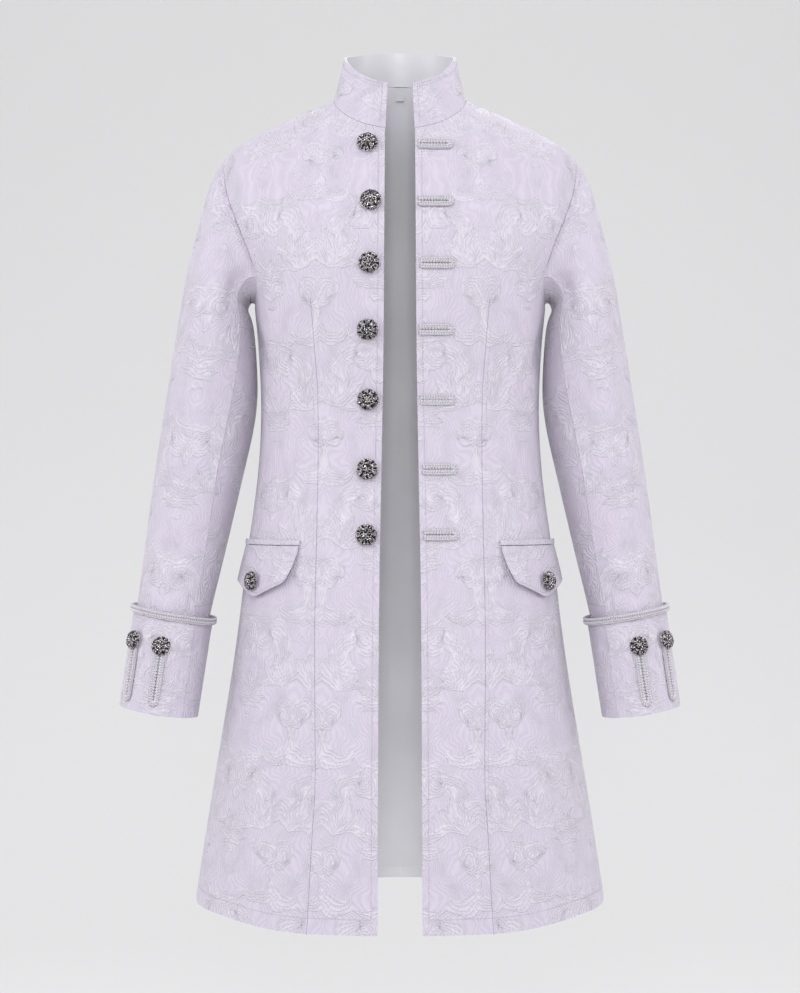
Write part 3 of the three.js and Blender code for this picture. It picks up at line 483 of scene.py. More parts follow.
# The ground's twill, drawn about three times as coarse as it is woven, so that it shows.
twill_place = add_node(tree, "VectorRotate", {0: cloth_mm.outputs[0], "Angle": math.radians(32)},
                       rotation_type="Z_AXIS").outputs[0]
twill = add_node(tree, "TexWave", {"Vector": twill_place, "Scale": 0.16, "Distortion": 1.2,
                 "Detail": 1.0, "Detail Scale": 1.5}, bands_direction="Y").outputs[1]
slub = add_node(tree, "TexNoise", {"Vector": cloth_mm.outputs[0], "Scale": 0.05,
                "Detail": 3.0}).outputs[0]
# Painted highlights and sheen: the ribs, the swirls and the figure are made lighter in the base
# colour, over the woven pattern.
painted_rib_shine = calc(tree, "MULTIPLY", outline, 0.5)
painted_swirl_and_rib_shine = calc(tree, "MULTIPLY_ADD", swirl, 0.22, painted_rib_shine)
painted_satin_sheen = calc(tree, "MULTIPLY_ADD", figure_height, 0.07, painted_swirl_and_rib_shine)
colour = add_node(tree, "MixRGB", {0: painted_satin_sheen, 1: to_linear(DAMASK_GROUND),
                  2: to_linear(DAMASK_FIGURE_PAINTED_SHEEN)}).outputs[0]
tone = add_node(tree, "MapRange", {0: slub, 1: 0.3, 2: 0.7, 3: 0.96, 4: 1.03}).outputs[0]
shaded = add_node(tree, "VectorMath", {0: colour, "Scale": tone}, operation="SCALE").outputs[0]
tree.links.new(shaded, shader.inputs["Base Color"])
gloss = add_node(tree, "MapRange", {0: figure_height, 1: 0.0, 2: 1.0, 3: 0.56, 4: 0.38}).outputs[0]
tree.links.new(gloss, shader.inputs["Roughness"])
pressed = calc(tree, "MULTIPLY_ADD", swirl, 0.45, outline)
raised = calc(tree, "MULTIPLY_ADD", figure_height, 0.2, pressed)
woven = calc(tree, "MULTIPLY_ADD", twill, 0.16, raised)
relief = add_node(tree, "Bump", {"Height": woven, "Strength": 0.9, "Distance": 0.0009}).outputs[0]
tree.links.new(relief, shader.inputs["Normal"])
shader.inputs["Specular IOR Level"].default_value = 0.45
shader.inputs["Sheen Weight"].default_value = 0.25
shader.inputs["Sheen Roughness"].default_value = 0.4

# Lining: a plain grey polyester twill, half matt, with fine lines that lean to one side.
lining, tree, shader, coords = new_finish("grey_lining_twill")
lean = add_node(tree, "VectorRotate", {0: coords["UV"], "Angle": math.radians(28)},
                rotation_type="Z_AXIS").outputs[0]
ribs = add_node(tree, "TexWave", {"Vector": lean, "Scale": 220.0}, bands_direction="Y").outputs[1]
drift = add_node(tree, "TexNoise", {"Vector": coords["UV"], "Scale": 9.0}).outputs[0]
tone = add_node(tree, "MapRange", {0: drift, 1: 0.3, 2: 0.7, 3: 0.95, 4: 1.05}).outputs[0]
base = add_node(tree, "RGB").outputs[0]
base.default_value = to_linear(LINING_GREY)
shaded = add_node(tree, "VectorMath", {0: base, "Scale": tone}, operation="SCALE").outputs[0]
tree.links.new(shaded, shader.inputs["Base Color"])
weave = add_node(tree, "Bump", {"Height": ribs, "Strength": 0.25, "Distance": 0.0002}).outputs[0]
tree.links.new(weave, shader.inputs["Normal"])
shader.inputs["Roughness"].default_value = 0.48
shader.inputs["Sheen Weight"].default_value = 0.2

# piece, a point inside its hollow, where its flat pattern starts, width and length it is cut to
SHELL = [
    ("front", (0, 0, 0), (0.03, -0.12, -0.5), (0.27, 1.01), 0.222),
    ("back", (0, 0, 0), (0, 0.12, -0.5), (0.345, 1.03), 0.249),
    ("sleeve_upper", (0.24, 0, 0), (0.25, -0.1, -0.3), (0.27, 0.66), 0.139),
    ("sleeve_under", (0.24, 0, 0), (0.2, 0, -0.4), (0.182, 0.544), 0.061),
    ("cuff_upper", (0.27, -0.02, 0), (0.27, -0.1, -0.7), (0.227, 0.124), 0.0244),
    ("cuff_under", (0.27, -0.02, 0), (0.25, 0, -0.7), (0.126, 0.115), 0.0121),
]

# Where the cloth is drawn or pressed out of its smooth form, as lines of (x, z) in metres with a
# half width and a rise in millimetres. The dart's seam is sunk down its whole length and ends in a
# pull at the chest, the front edges are rolled, the sleeves break above the cuffs and at the elbow.
DART_LINE = [(0.107, -0.965), (0.100, -0.795), (0.102, -0.640), (0.099, -0.456), (0.100, -0.349),
             (0.108, -0.248)]
EDGE_LINE = [(0.0253, -0.962), (0.024, -0.600), (0.0215, -0.445), (0.0188, -0.285), (0.0175, -0.05)]
FOLDS = {
    "front_left": [
        (DART_LINE, 2.6, -0.5), (EDGE_LINE, 3.6, 0.8),
        ([(0.121, -0.276), (0.136, -0.322), (0.151, -0.368)], 4.5, -2.2),
        ([(0.150, -0.296), (0.139, -0.330), (0.126, -0.362)], 4.0, 2.0),
        ([(0.108, -0.235), (0.098, -0.200), (0.094, -0.165)], 6.0, 1.8),
        ([(0.176, -0.262), (0.166, -0.292), (0.160, -0.335)], 6.5, -3.6),
        ([(0.060, -0.115), (0.085, -0.098), (0.112, -0.096)], 9.0, 1.4),
        ([(0.062, -0.640), (0.070, -0.800), (0.060, -0.955)], 22.0, 2.4),
        ([(0.150, -0.660), (0.160, -0.800), (0.168, -0.940)], 20.0, 2.7),
    ],
    "front_right": [
        ([(-x, z) for x, z in DART_LINE], 2.6, -0.8), ([(-x, z) for x, z in EDGE_LINE], 3.6, 1.2),
        ([(-0.110, -0.226), (-0.128, -0.296), (-0.160, -0.368)], 5.0, 2.7),
        ([(-0.120, -0.228), (-0.140, -0.290), (-0.166, -0.345)], 4.0, -1.8),
        ([(-0.134, -0.320), (-0.124, -0.316), (-0.114, -0.313)], 3.2, -1.8),
        ([(-0.178, -0.260), (-0.167, -0.292), (-0.158, -0.330)], 6.5, -3.6),
        ([(-0.058, -0.120), (-0.084, -0.104), (-0.116, -0.104)], 9.0, 1.2),
        ([(-0.070, -0.630), (-0.062, -0.790), (-0.074, -0.950)], 24.0, 2.2),
        ([(-0.156, -0.650), (-0.168, -0.790), (-0.165, -0.935)], 18.0, 2.8),
    ],
    "sleeve_upper_left": [
        ([(0.235, -0.572), (0.262, -0.590), (0.292, -0.584)], 5.5, -3.3),
        ([(0.240, -0.548), (0.266, -0.563), (0.290, -0.556)], 5.0, 2.0),
        ([(0.214, -0.392), (0.236, -0.404), (0.262, -0.394)], 8.0, -3.0),
        ([(0.206, -0.352), (0.228, -0.370), (0.250, -0.366)], 7.0, 2.0),
        ([(0.186, -0.212), (0.199, -0.238), (0.206, -0.268)], 7.0, -2.7),
        ([(0.232, -0.160), (0.240, -0.220), (0.244, -0.290)], 13.0, 2.1),
    ],
    "sleeve_upper_right": [
        ([(-0.242, -0.566), (-0.268, -0.585), (-0.298, -0.576)], 5.5, -3.6),
        ([(-0.238, -0.600), (-0.258, -0.604), (-0.280, -0.598)], 4.5, 1.5),
        ([(-0.210, -0.372), (-0.234, -0.386), (-0.258, -0.380)], 8.0, -2.7),
        ([(-0.212, -0.420), (-0.238, -0.430), (-0.264, -0.416)], 7.5, 1.8),
        ([(-0.185, -0.206), (-0.198, -0.236), (-0.207, -0.272)], 7.0, -2.8),
        ([(-0.226, -0.170), (-0.238, -0.232), (-0.248, -0.300)], 13.0, 1.8),
    ],
    "back_left": [
        ([(-0.018, -0.330), (-0.066, -0.352), (-0.124, -0.346)], 9.0, 2.7),
        ([(-0.030, -0.404), (-0.080, -0.424), (-0.140, -0.412)], 10.0, 2.4),
        ([(-0.158, -0.176), (-0.142, -0.240), (-0.130, -0.300)], 9.0, 3.0),
        ([(-0.012, -0.052), (-0.040, -0.060), (-0.070, -0.054)], 7.0, 1.8),
        ([(-0.100, -0.640), (-0.112, -0.790), (-0.124, -0.950)], 20.0, 3.3),
    ],
    "back_right": [
        ([(0.014, -0.348), (0.058, -0.366), (0.110, -0.352)], 9.0, 2.5),
        ([(0.046, -0.430), (0.092, -0.442), (0.146, -0.428)], 9.0, 2.1),
        ([(0.160, -0.190), (0.146, -0.250), (0.126, -0.318)], 10.0, 2.7),
        ([(0.010, -0.066), (0.036, -0.072), (0.064, -0.064)], 7.0, 1.5),
        ([(0.086, -0.640), (0.100, -0.790), (0.096, -0.950)], 22.0, 3.0),
    ],
}
shell = {}
for part, middle, start, flat, area in SHELL:
    left = outer_face(part + "_left", part + "_left_cloth", middle)
    lay_flat(left, start)
    for side, piece in (("left", left), ("right", other_side(left, part + "_right_cloth"))):
        apply(piece, "SUBSURF", levels=3, render_levels=3, boundary_smooth="PRESERVE_CORNERS")
        crease(piece, FOLDS.get(f"{part}_{side}", []), (0, 1) if part == "back" else (0, -1))
        finish_cloth(piece, CLOTH_THICK, damask, lining, f"{part}_{side}")
        shell[f"{part}_{side}"] = piece

# Collar and linings: the collar's outer face is damask, its inner face a paler satin, and the
# body is lined with one plain cloth.
collar_satin = tinted(lining, "pale_collar_satin", COLLAR_SATIN)
collar_satin.node_tree.nodes["Principled BSDF"].inputs["Roughness"].default_value = 0.34
# the least share of its flat sides' rectangle that a curved strip's cloth is taken to fill
LEAST_SHARE = 0.3
for part, thick, slot_name, cloth, flat in [
    ("collar", 0.0016, "white_damask", damask, (0.454, 0.063)),
    ("collar_lining", 0.001, "collar_satin", collar_satin, (0.444, 0.064)),
    ("lining_back", 0.001, "grey_lining", lining, (0.66, 1.01)),
]:
    piece = outer_face(part, part + "_cloth", (0, 0, 0), thick)
    area = lay_flat(piece, (0, 0, 0))
    apply(piece, "SUBSURF", levels=3, render_levels=3, boundary_smooth="PRESERVE_CORNERS")
    area = max(area, LEAST_SHARE * flat[0] * flat[1])
    finish_cloth(piece, thick, cloth, cloth, part)
    shell[part] = piece

# Pocket flaps and welts, of the same damask: the flap is turned at its edges and hangs from the
# welt's lower edge, held down by a button at its point.
for part, thick, flat, area in [
    ("pocket_flap", 0.002, (0.128, 0.061), 0.00601),
    ("pocket_welt", 0.003, (0.132, 0.0124), 0.0008),
]:
    left = outer_face(part + "_left", part + "_left_cloth", (0, 0, 0), thick)
    lay_flat(left, (0.13, -0.09, -0.54))
    for side, piece in (("left", left), ("right", other_side(left, part + "_right_cloth"))):
        apply(piece, "SUBSURF", levels=2, render_levels=2, boundary_smooth="PRESERVE_CORNERS")
        finish_cloth(piece, thick, damask, damask, f"{part}_{side}")
        apply(piece, "BEVEL", width=0.0006, segments=2, limit_method="ANGLE")
        shell[f"{part}_{side}"] = piece

# Gimp braid: a rayon cord core whipped with soft thread, in two rows of slanted stitches and a
# scalloped outer edge. It is sewn down as seven loops on the left front, two on each cuff and a
# ring round each cuff's top.
GIMP_WHITE = "#DEDAE1"
# The core's darker grey is painted shade in the gaps between the whipping stitches.
GIMP_CORE_PAINTED_SHADE = "#BDB8C1"
STITCH_LENGTH = 0.0034
STITCH_THICK = 0.0015
STITCH_PITCH = 0.0029
OVAL = (STITCH_LENGTH, STITCH_THICK, STITCH_THICK)
SCALLOP = (0.0030, 0.0024, 0.0018)
RING_OVAL = (0.0042, 0.0018, 0.0018)
RING_SCALLOP = (0.0032, 0.0020, 0.0016)
RING_PITCH = 0.0032
RUN_SPREAD = 0.004
OPEN_INSET = 0.0012
CLOSED_INSET = 0.0035
LINE_LIFT = 0.003
RING_COLUMNS = 24
COLUMN_REACH = 0.32
RING_OUT = (1.12, 1.12, 1)
gimp, tree, shader, coords = new_finish("rayon_gimp")
fuzz = add_node(tree, "TexNoise", {"Vector": coords["Object"], "Scale": 900.0,
                "Detail": 3.0}).outputs[0]
strands = add_node(tree, "TexWave", {"Vector": coords["Object"], "Scale": 420.0, "Distortion": 4.0},
                   bands_direction="DIAGONAL").outputs[1]
mixed = calc(tree, "MULTIPLY_ADD", strands, 0.6, fuzz)
hair = add_node(tree, "Bump", {"Height": mixed, "Strength": 0.8, "Distance": 0.0004}).outputs[0]
tree.links.new(hair, shader.inputs["Normal"])
shade = add_node(tree, "MapRange", {0: fuzz, 1: 0.3, 2: 0.7, 3: 0.84, 4: 1.1}).outputs[0]
base = add_node(tree, "RGB").outputs[0]
base.default_value = to_linear(GIMP_WHITE)
shaded = add_node(tree, "VectorMath", {0: base, "Scale": shade}, operation="SCALE").outputs[0]
tree.links.new(shaded, shader.inputs["Base Color"])
shader.inputs["Roughness"].default_value = 0.62
shader.inputs["Sheen Weight"].default_value = 0.3
# The core is the braid's white drawn darker: painted shade where it shows between the stitches.
cord_painted_shade = tinted(gimp, "gimp_cord_core_painted_shade", GIMP_CORE_PAINTED_SHADE)

bpy.ops.object.select_all(action="DESELECT")
bpy.ops.mesh.primitive_uv_sphere_add(segments=6, ring_count=5, radius=0.5)
stitch = bpy.context.object
bpy.ops.object.mode_set(mode="EDIT")
bpy.ops.mesh.select_all(action="SELECT")
bpy.ops.transform.rotate(value=math.pi / 2, orient_axis="Y", center_override=(0, 0, 0))
bpy.ops.object.mode_set(mode="OBJECT")


def mesh_points(piece):
    """A piece's points, as rows."""
    points = np.zeros(len(piece.data.vertices) * 3)
    piece.data.vertices.foreach_get("co", points)
    return points.reshape(-1, 3)


def merged_copy(node, name):
    """A copy of a solid with its loose triangles joined up."""
    piece = joined_copy(node, name)
    bpy.ops.mesh.tris_convert_to_quads(face_threshold=1.0, shape_threshold=3.1)
    bpy.ops.object.mode_set(mode="OBJECT")
    return piece


def even_steps(line, pitch, closed=False):
    """Points a pitch apart along a line, and the way it runs at each."""
    line = np.array(line + line[:1] if closed else line, float)
    reach = np.r_[0, np.cumsum(np.linalg.norm(np.diff(line, axis=0), axis=1))]
    count = max(2, round(reach[-1] / pitch))
    at = np.linspace(0, reach[-1], count + 1)[:-1] + 0.5 * reach[-1] / count
    spots = np.array([np.interp(at, reach, line[:, i]) for i in range(3)]).T
    ahead = np.array([np.interp(at + 1e-4, reach, line[:, i]) for i in range(3)]).T
    back = np.array([np.interp(at - 1e-4, reach, line[:, i]) for i in range(3)]).T
    return spots, ahead - back


def sew_row(places, line, ground, aside, slant, size, lift, pitch=STITCH_PITCH, closed=False):
    """Lays a row of stitches beside a line, on the ground piece. size is a stitch's length,
    width and height."""
    spots, ways = even_steps(line, pitch, closed)
    for spot, way in zip(spots, ways):
        _, foot, up, _ = ground.closest_point_on_mesh(Vector(spot))
        along = (Vector(way) - up * up.dot(Vector(way))).normalized()
        across = up.cross(along)
        _, foot, up, _ = ground.closest_point_on_mesh(foot + across * aside)
        turned = along * math.cos(slant) + across * math.sin(slant)
        places.append((foot + up * lift, turned, up.cross(turned).normalized(), up, size))


def sewn(name, places, thread):
    """One piece of all the stitches at these places, each a copy of the one that was modelled."""
    shape = mesh_points(stitch)
    faces = [list(f.vertices) for f in stitch.data.polygons]
    points = []
    for centre, along, across, up, size in places:
        turn = np.array([along, across, up]) * np.array(size)[:, None]
        points.append(shape @ turn + np.array(centre))
    count = len(shape)
    all_faces = [[v + i * count for v in f] for i in range(len(places)) for f in faces]
    mesh = bpy.data.meshes.new(name)
    mesh.from_pydata(np.concatenate(points), [], all_faces)
    piece = bpy.data.objects.new(name, mesh)
    bpy.context.scene.collection.objects.link(piece)
    mesh.materials.append(thread)
    only(piece)
    bpy.ops.object.shade_smooth()
    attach(piece, "root")
    return piece


def hairpin(core, ground, open_end):
    """The middle line of a loop's two runs, from its own solid: out, round the end and back.
    open_end is the way from its closed end to its open one."""
    points = mesh_points(core)
    centre = (points.min(0) + points.max(0)) / 2
    axes = np.linalg.svd(points - points.mean(0))[2]
    axis = axes[0] * math.copysign(1, axes[0] @ np.array(open_end))
    up = np.array(ground.closest_point_on_mesh(Vector(centre))[2])
    across = np.cross(up, axis)
    spans = (points - centre) @ axis
    first, last = spans.max() - OPEN_INSET, spans.min() + CLOSED_INSET + RUN_SPREAD
    line = [(first, RUN_SPREAD), (0, RUN_SPREAD), (last, RUN_SPREAD)]
    for step in range(1, 8):
        bend = math.pi * step / 8
        line.append((last - RUN_SPREAD * math.sin(bend), RUN_SPREAD * math.cos(bend)))
    line += [(last, -RUN_SPREAD), (0, -RUN_SPREAD), (first, -RUN_SPREAD)]
    return [tuple(centre + up * LINE_LIFT + axis * s + across * t) for s, t in line]


loops = [(f"front_loop_{i}", "front_left", (-1, 0, 0)) for i in range(1, 8)]
loops += [(f"cuff_loop_{side}_{i}", f"cuff_upper_{side}", (0, 0, 1))
          for side in ("left", "right") for i in (1, 2)]
for node, ground, open_end in loops:
    core = merged_copy(node, node + "_core")
    line = hairpin(core, shell[ground], open_end)
    apply(core, "SUBSURF", levels=1, render_levels=1)
    only(core)
    bpy.ops.object.shade_smooth()
    core.data.materials.append(cord_painted_shade)
    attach(core, "root")
    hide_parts(node)
    places = []
    sew_row(places, line, core, 0.0012, 0.7, OVAL, 0.0004)
    sew_row(places, line, core, -0.0012, -0.7, OVAL, 0.0004)
    sew_row(places, line, core, 0.0030, 0.0, SCALLOP, 0.0003, pitch=0.0036)
    whipping = sewn(node + "_whipping", places, gimp)

for side in ("left", "right"):
    node = f"cuff_braid_{side}"
    core = merged_copy(node, node + "_core")
    points = mesh_points(core)
    middle = points.mean(0)
    spread = np.ptp(points, axis=0)
    around = np.arctan2((points[:, 1] - middle[1]) / spread[1],
                        (points[:, 0] - middle[0]) / spread[0])
    columns = [points[np.abs(np.angle(np.exp(1j * (around - t)))) < COLUMN_REACH].mean(0)
               for t in np.linspace(-math.pi, math.pi, RING_COLUMNS, endpoint=False)]
    apply(core, "SUBSURF", levels=2, render_levels=2)
    only(core)
    bpy.ops.object.shade_smooth()
    core.data.materials.append(cord_painted_shade)
    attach(core, "root")
    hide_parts(node)
    line = [tuple(middle + (p - middle) * np.array(RING_OUT)) for p in columns]
    places = []
    sew_row(places, line, core, 0.0022, 0.75, RING_OVAL, 0.0009, RING_PITCH, closed=True)
    sew_row(places, line, core, -0.0012, -0.75, RING_OVAL, 0.0009, RING_PITCH, closed=True)
    sew_row(places, line, core, -0.0040, 0.1, RING_SCALLOP, 0.0, pitch=0.0033, closed=True)
    whipping = sewn(node + "_whipping", places, gimp)

# Topstitching: white thread in short stitches, a few millimetres inside the edges of the fronts,
# the collar and the flaps, and above the hem, where it holds the turning. The thread is drawn
# darker than the cloth, as painted shade of the groove that it sinks into.
FRONT_INSET = 0.007
COLLAR_INSET = 0.006
FLAP_INSET = 0.005
HEM_TURNING = 0.018
CLEAR = 0.004
# The thread's grey is white thread with painted shade of its sunk groove.
THREAD_GROOVE_SHADE = "#B7B0BF"
SEAM_SHADE = "#8E8799"
SEAM_STITCH = (0.0034, 0.0010, 0.0006)
SEAM_PITCH = 0.0028
THREAD_PITCH = 0.0031
STITCH_SIZE = (0.0025, 0.0009, 0.0006)
thread, tree, shader, coords = new_finish("sewing_thread_painted_groove_shade")
shader.inputs["Base Color"].default_value = to_linear(THREAD_GROOVE_SHADE)
shader.inputs["Roughness"].default_value = 0.45
shader.inputs["Sheen Weight"].default_value = 0.2


def outmost(piece, where, pick, start, end, reach, steps=60):
    """Points along one edge of a piece. where gives each point's place along the edge and pick
    what is least at that edge. Each is moved out from the body, clear of the cloth."""
    points = mesh_points(piece)
    at, value = where(points), pick(points)
    line = []
    for place in np.linspace(start, end, steps):
        near = np.flatnonzero(np.abs(at - place) < reach)
        if len(near):
            line.append(points[near[np.argmin(value[near])]])
    line = np.array(line)
    out = line[:, :2] / np.linalg.norm(line[:, :2], axis=1)[:, None]
    line[:, :2] += out * CLEAR
    return line


def topstitch(places, line, ground):
    """Lays one row of topstitching along a line."""
    sew_row(places, [tuple(p) for p in line], ground, 0.0, 0.0, STITCH_SIZE, 0.0001, THREAD_PITCH)


# The dart's seam is a closed fold: its sunk line is drawn as a row of dark stitches, a painted
# shadow along the seam.
seam_painted_shadow = thread.copy()
seam_painted_shadow.name = "dart_seam_painted_shadow"
seam_shadow_shader = seam_painted_shadow.node_tree.nodes["Principled BSDF"]
seam_shadow_shader.inputs["Base Color"].default_value = to_linear(SEAM_SHADE)
for side, way in (("left", 1), ("right", -1)):
    front = shell[f"front_{side}"]
    places = []
    dart = [(x * way, front.closest_point_on_mesh(Vector((x * way, -0.3, z)))[1][1] - 0.002, z)
            for x, z in DART_LINE]
    sew_row(places, dart, front, 0.0, 0.0, SEAM_STITCH, -0.0001, SEAM_PITCH)
    seam = sewn(f"dart_seam_shadow_{side}", places, seam_painted_shadow)
    places = []
    edge = outmost(front, lambda p: p[:, 2], lambda p: np.abs(p[:, 0]), -0.955, -0.06, 0.004)
    edge[:, 0] += FRONT_INSET * way
    topstitch(places, edge, front)
    for part, inner, outer in (("front", 0.17, 1.42), ("back", 0.03, 1.5)):
        piece = shell[f"{part}_{side}"]
        facing = -1 if part == "front" else 1
        hem = outmost(piece, lambda p: np.arctan2(p[:, 0] * way, p[:, 1] * facing),
                      lambda p: p[:, 2], inner, outer, 0.03)
        hem[:, 2] += HEM_TURNING
        topstitch(places, hem, piece)
    flap = shell[f"pocket_flap_{side}"]
    points = mesh_points(flap)
    middle = (points.max(0) + points.min(0)) / 2
    turn = np.arctan2(points[:, 2] - middle[2], (points[:, 0] - middle[0]) * way)
    reach = np.hypot(points[:, 0] - middle[0], points[:, 2] - middle[2])
    line = []
    for t in np.linspace(-math.pi * 0.97, -math.pi * 0.03, 40):
        near = np.flatnonzero(np.abs(turn - t) < 0.12)
        furthest = points[near[np.argmax(reach[near])]].copy()
        away = furthest - middle
        away[1] = 0
        furthest -= away / np.linalg.norm(away) * FLAP_INSET
        furthest[1] -= CLEAR
        line.append(furthest)
    topstitch(places, line, flap)
    collar = shell["collar"]
    top = outmost(collar, lambda p: np.arctan2(p[:, 0] * way, -p[:, 1]), lambda p: -p[:, 2],
                  0.28, 3.1, 0.06)
    top[:, 2] -= COLLAR_INSET
    end = outmost(collar, lambda p: p[:, 2], lambda p: np.abs(p[:, 0]) + 9 * (p[:, 1] > 0)
                  + 9 * (p[:, 0] * way < 0), -0.040, 0.030, 0.004, 12)
    end[:, 0] += COLLAR_INSET * way
    for line in (top, end):
        topstitch(places, line, collar)
    topstitching = sewn(f"topstitching_{side}", places, thread)

# Buttons: cast metal domes on a shank, plated with silver and blackened. Filigree of two rings of
# looped petals, a beaded edge and a boss stands on the dark dome, and its metal is patched bright
# and dark at random: partly rubbed wear, partly painted highlights and dark reflections.
BUTTON_RADIUS = 0.0124
DOME_RISE = 0.0066
BACK_HEIGHT = 0.0038
DOME_RADIUS = BUTTON_RADIUS * 0.97
DOME_FOOT = BACK_HEIGHT + 0.0006
SHANK_RADIUS = 0.003
SHANK_GAP = 0.00045
SMALL_BUTTON = 11.2 / 12.4
RUBBED_AND_GLINT_BRIGHT = "#E2DDE0"
RUBBED_DULL_AND_DARK_REFLECTION = "#3A363C"
SOOT_BLACK = "#080706"
SOOT_BROWN = "#2E2A28"
silver_wear_and_glints, tree, shader, coords = new_finish("old_silver_wear_and_painted_glints")
wear = add_node(tree, "TexNoise", {"Vector": coords["Object"], "Scale": 480.0,
                "Detail": 4.0}).outputs[0]
rough = add_node(tree, "MapRange", {0: wear, 1: 0.35, 2: 0.7, 3: 0.22, 4: 0.42}).outputs[0]
tree.links.new(rough, shader.inputs["Roughness"])
# Random bright and dark patches on the metal: partly rubbed wear, partly painted highlights and
# dark reflections.
wear_and_glint_mask = add_node(tree, "MapRange", {0: wear, 1: 0.45, 2: 0.58, 3: 0.0, 4: 1.0}).outputs[0]
tone = add_node(tree, "MixRGB", {0: wear_and_glint_mask, 1: to_linear(RUBBED_AND_GLINT_BRIGHT),
                2: to_linear(RUBBED_DULL_AND_DARK_REFLECTION)}).outputs[0]
tree.links.new(tone, shader.inputs["Base Color"])
pits = add_node(tree, "Bump", {"Height": wear, "Strength": 0.2, "Distance": 0.0002}).outputs[0]
tree.links.new(pits, shader.inputs["Normal"])
shader.inputs["Metallic"].default_value = 1.0

blackened, tree, shader, coords = new_finish("blackened_silver")
soot = add_node(tree, "TexNoise", {"Vector": coords["Object"], "Scale": 520.0,
                "Detail": 4.0}).outputs[0]
tone = add_node(tree, "MixRGB", {0: soot, 1: to_linear(SOOT_BLACK),
                2: to_linear(SOOT_BROWN)}).outputs[0]
tree.links.new(tone, shader.inputs["Base Color"])
pits = add_node(tree, "Bump", {"Height": soot, "Strength": 0.5, "Distance": 0.0003}).outputs[0]
tree.links.new(pits, shader.inputs["Normal"])
shader.inputs["Metallic"].default_value = 0.85
shader.inputs["Roughness"].default_value = 0.5

bpy.ops.object.select_all(action="DESELECT")
bpy.ops.mesh.primitive_uv_sphere_add(segments=36, ring_count=20, radius=DOME_RADIUS)
dome = bpy.context.object
bpy.ops.object.mode_set(mode="EDIT")
bpy.ops.mesh.select_all(action="SELECT")
bpy.ops.mesh.bisect(plane_co=(0, 0, 0), plane_no=(0, 0, 1), clear_inner=True, use_fill=True)
bpy.ops.mesh.select_all(action="SELECT")
bpy.ops.transform.resize(value=(1, 1, DOME_RISE / DOME_RADIUS), center_override=(0, 0, 0))
bpy.ops.transform.translate(value=(0, 0, DOME_FOOT))
bpy.ops.object.mode_set(mode="OBJECT")
dome.data.materials.append(blackened)
parts = [dome]

# The back plate's turned edge, and the shank: radius, foot and top.
for radius, low, high in [(BUTTON_RADIUS, BACK_HEIGHT - 0.0004, BACK_HEIGHT + 0.0008),
                          (SHANK_RADIUS, 0.0005, BACK_HEIGHT)]:
    bpy.ops.mesh.primitive_cylinder_add(vertices=36, radius=radius, depth=high - low,
                                        location=(0, 0, (low + high) / 2))
    turned = bpy.context.object
    bpy.ops.object.mode_set(mode="EDIT")
    bpy.ops.mesh.select_all(action="SELECT")
    bpy.ops.mesh.bevel(offset=0.0003, segments=2)
    bpy.ops.object.mode_set(mode="OBJECT")
    turned.data.materials.append(silver_wear_and_glints)
    parts.append(turned)


def on_dome(radius):
    """The dome's height at a radius, and its slope's angle."""
    share = min(radius / DOME_RADIUS, 0.995)
    height = DOME_FOOT + DOME_RISE * math.sqrt(1 - share * share)
    slope = DOME_RISE / DOME_RADIUS * share / math.sqrt(1 - share * share)
    return height, math.atan(slope)


# Rings of petals: how many, how far out, half length, half width, wire, turn of the first.
for count, radius, long, wide, wire, start in [
    (8, 0.0046, 0.0022, 0.0014, 0.00042, 0.0), (8, 0.0088, 0.0023, 0.0021, 0.00046, 22.5),
    (8, 0.0086, 0.0011, 0.0008, 0.00038, 22.5), (16, 0.0112, 0.0010, 0.0012, 0.00036, 11.25),
]:
    height, slope = on_dome(radius)
    for i in range(count):
        turn = math.radians(start + 360 * i / count)
        bpy.ops.mesh.primitive_torus_add(major_segments=12, minor_segments=5, major_radius=1,
                                         minor_radius=wire / math.sqrt(long * wide))
        petal = bpy.context.object
        petal.scale = (long, wide, math.sqrt(long * wide))
        petal.rotation_euler = (0, slope, turn)
        petal.location = (radius * math.cos(turn), radius * math.sin(turn), height)
        petal.data.materials.append(silver_wear_and_glints)
        parts.append(petal)
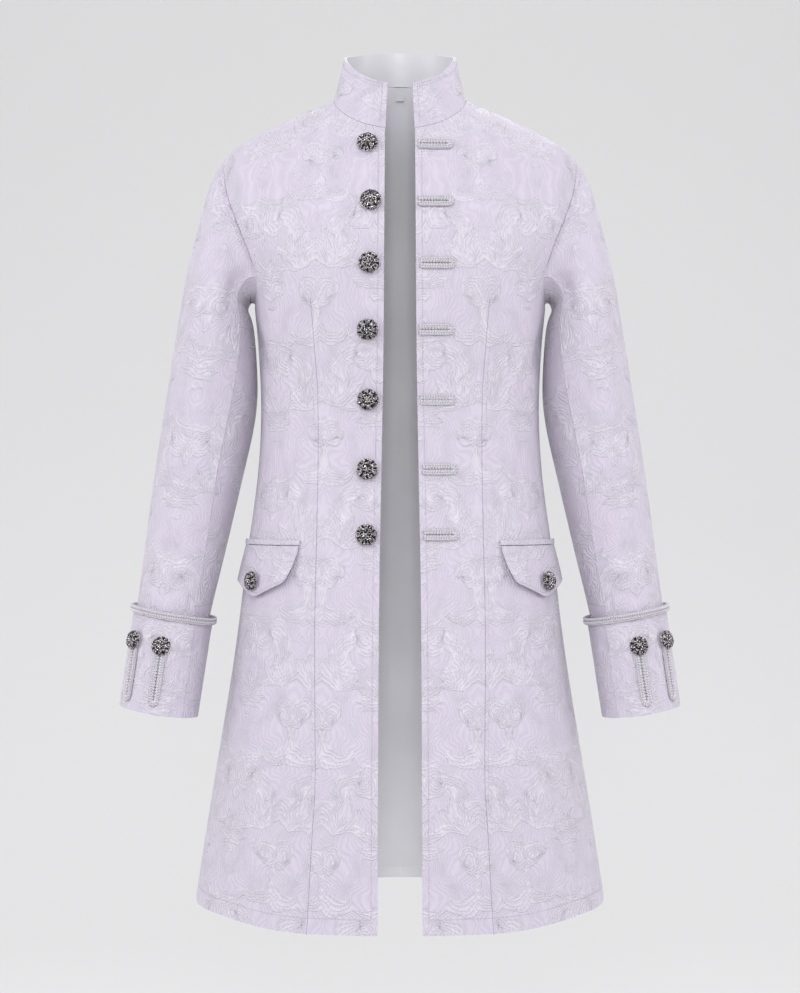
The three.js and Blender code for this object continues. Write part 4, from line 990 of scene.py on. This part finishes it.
# Beads: how many, how far out, size.
for count, radius, size in [(30, 0.0119, 0.00062), (8, 0.0066, 0.0006), (1, 0.0, 0.0017)]:
    height, slope = on_dome(radius)
    for i in range(count):
        turn = 2 * math.pi * i / count
        bpy.ops.mesh.primitive_uv_sphere_add(
            segments=8, ring_count=6, radius=size,
            location=(radius * math.cos(turn), radius * math.sin(turn), height))
        bead = bpy.context.object
        bead.data.materials.append(silver_wear_and_glints)
        parts.append(bead)
bpy.ops.object.select_all(action="DESELECT")
for part in parts:
    part.select_set(True)
bpy.context.view_layer.objects.active = dome
bpy.ops.object.join()
bpy.ops.object.transform_apply(location=True, rotation=True, scale=True)
bpy.ops.object.shade_smooth_by_angle(angle=math.radians(40))
button_shape = mesh_points(dome)

buttons = [(f"front_button_{i}", "front_right", 1.0) for i in range(1, 8)]
buttons += [(f"cuff_button_{side}_{i}", f"cuff_upper_{side}", SMALL_BUTTON)
            for side in ("left", "right") for i in (1, 2)]
buttons += [(f"flap_button_{side}", f"front_{side}", SMALL_BUTTON) for side in ("left", "right")]
turns = random.Random(7)
for node, ground, scale in buttons:
    low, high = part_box(node)
    solid = mesh_points(frame["nodes"][node])
    centre = Vector((low + high) / 2)
    foot = shell[ground].closest_point_on_mesh(centre)[1]
    up = (centre - foot).normalized()
    lowest = float(((solid - np.array(centre)) @ np.array(up)).min())
    across = up.cross(Vector((0, 0, 1))).normalized()
    along = across.cross(up)
    turn = turns.uniform(0, 2 * math.pi)
    side = across * math.cos(turn) + along * math.sin(turn)
    other = up.cross(side)
    axes = np.array([side, other, up])
    piece = bpy.data.objects.new(node + "_cast", dome.data.copy())
    bpy.context.scene.collection.objects.link(piece)
    piece.data.name = node + "_cast"
    base = np.array(centre + up * (lowest - SHANK_GAP * scale))
    piece.data.vertices.foreach_set("co", (button_shape * scale @ axes + base).ravel())
    piece.data.update()
    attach(piece, "root")
    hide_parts(node)
bpy.data.objects.remove(dome)
bpy.data.objects.remove(stitch)

# Label: a bare tab of woven white ribbon, sewn to the lining below the back of the neck.
RIBBON_WHITE = "#D9D8DC"
ribbon, tree, shader, coords = new_finish("woven_ribbon")
rib = add_node(tree, "TexWave", {"Vector": coords["Object"], "Scale": 700.0},
               bands_direction="Z").outputs[1]
weave = add_node(tree, "Bump", {"Height": rib, "Strength": 0.3, "Distance": 0.0002}).outputs[0]
tree.links.new(weave, shader.inputs["Normal"])
shader.inputs["Base Color"].default_value = to_linear(RIBBON_WHITE)
shader.inputs["Roughness"].default_value = 0.55
tab = merged_copy("label", "label_ribbon")
apply(tab, "BEVEL", width=0.0002, segments=2)
tab.data.materials.append(ribbon)
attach(tab, "root")
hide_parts("label")
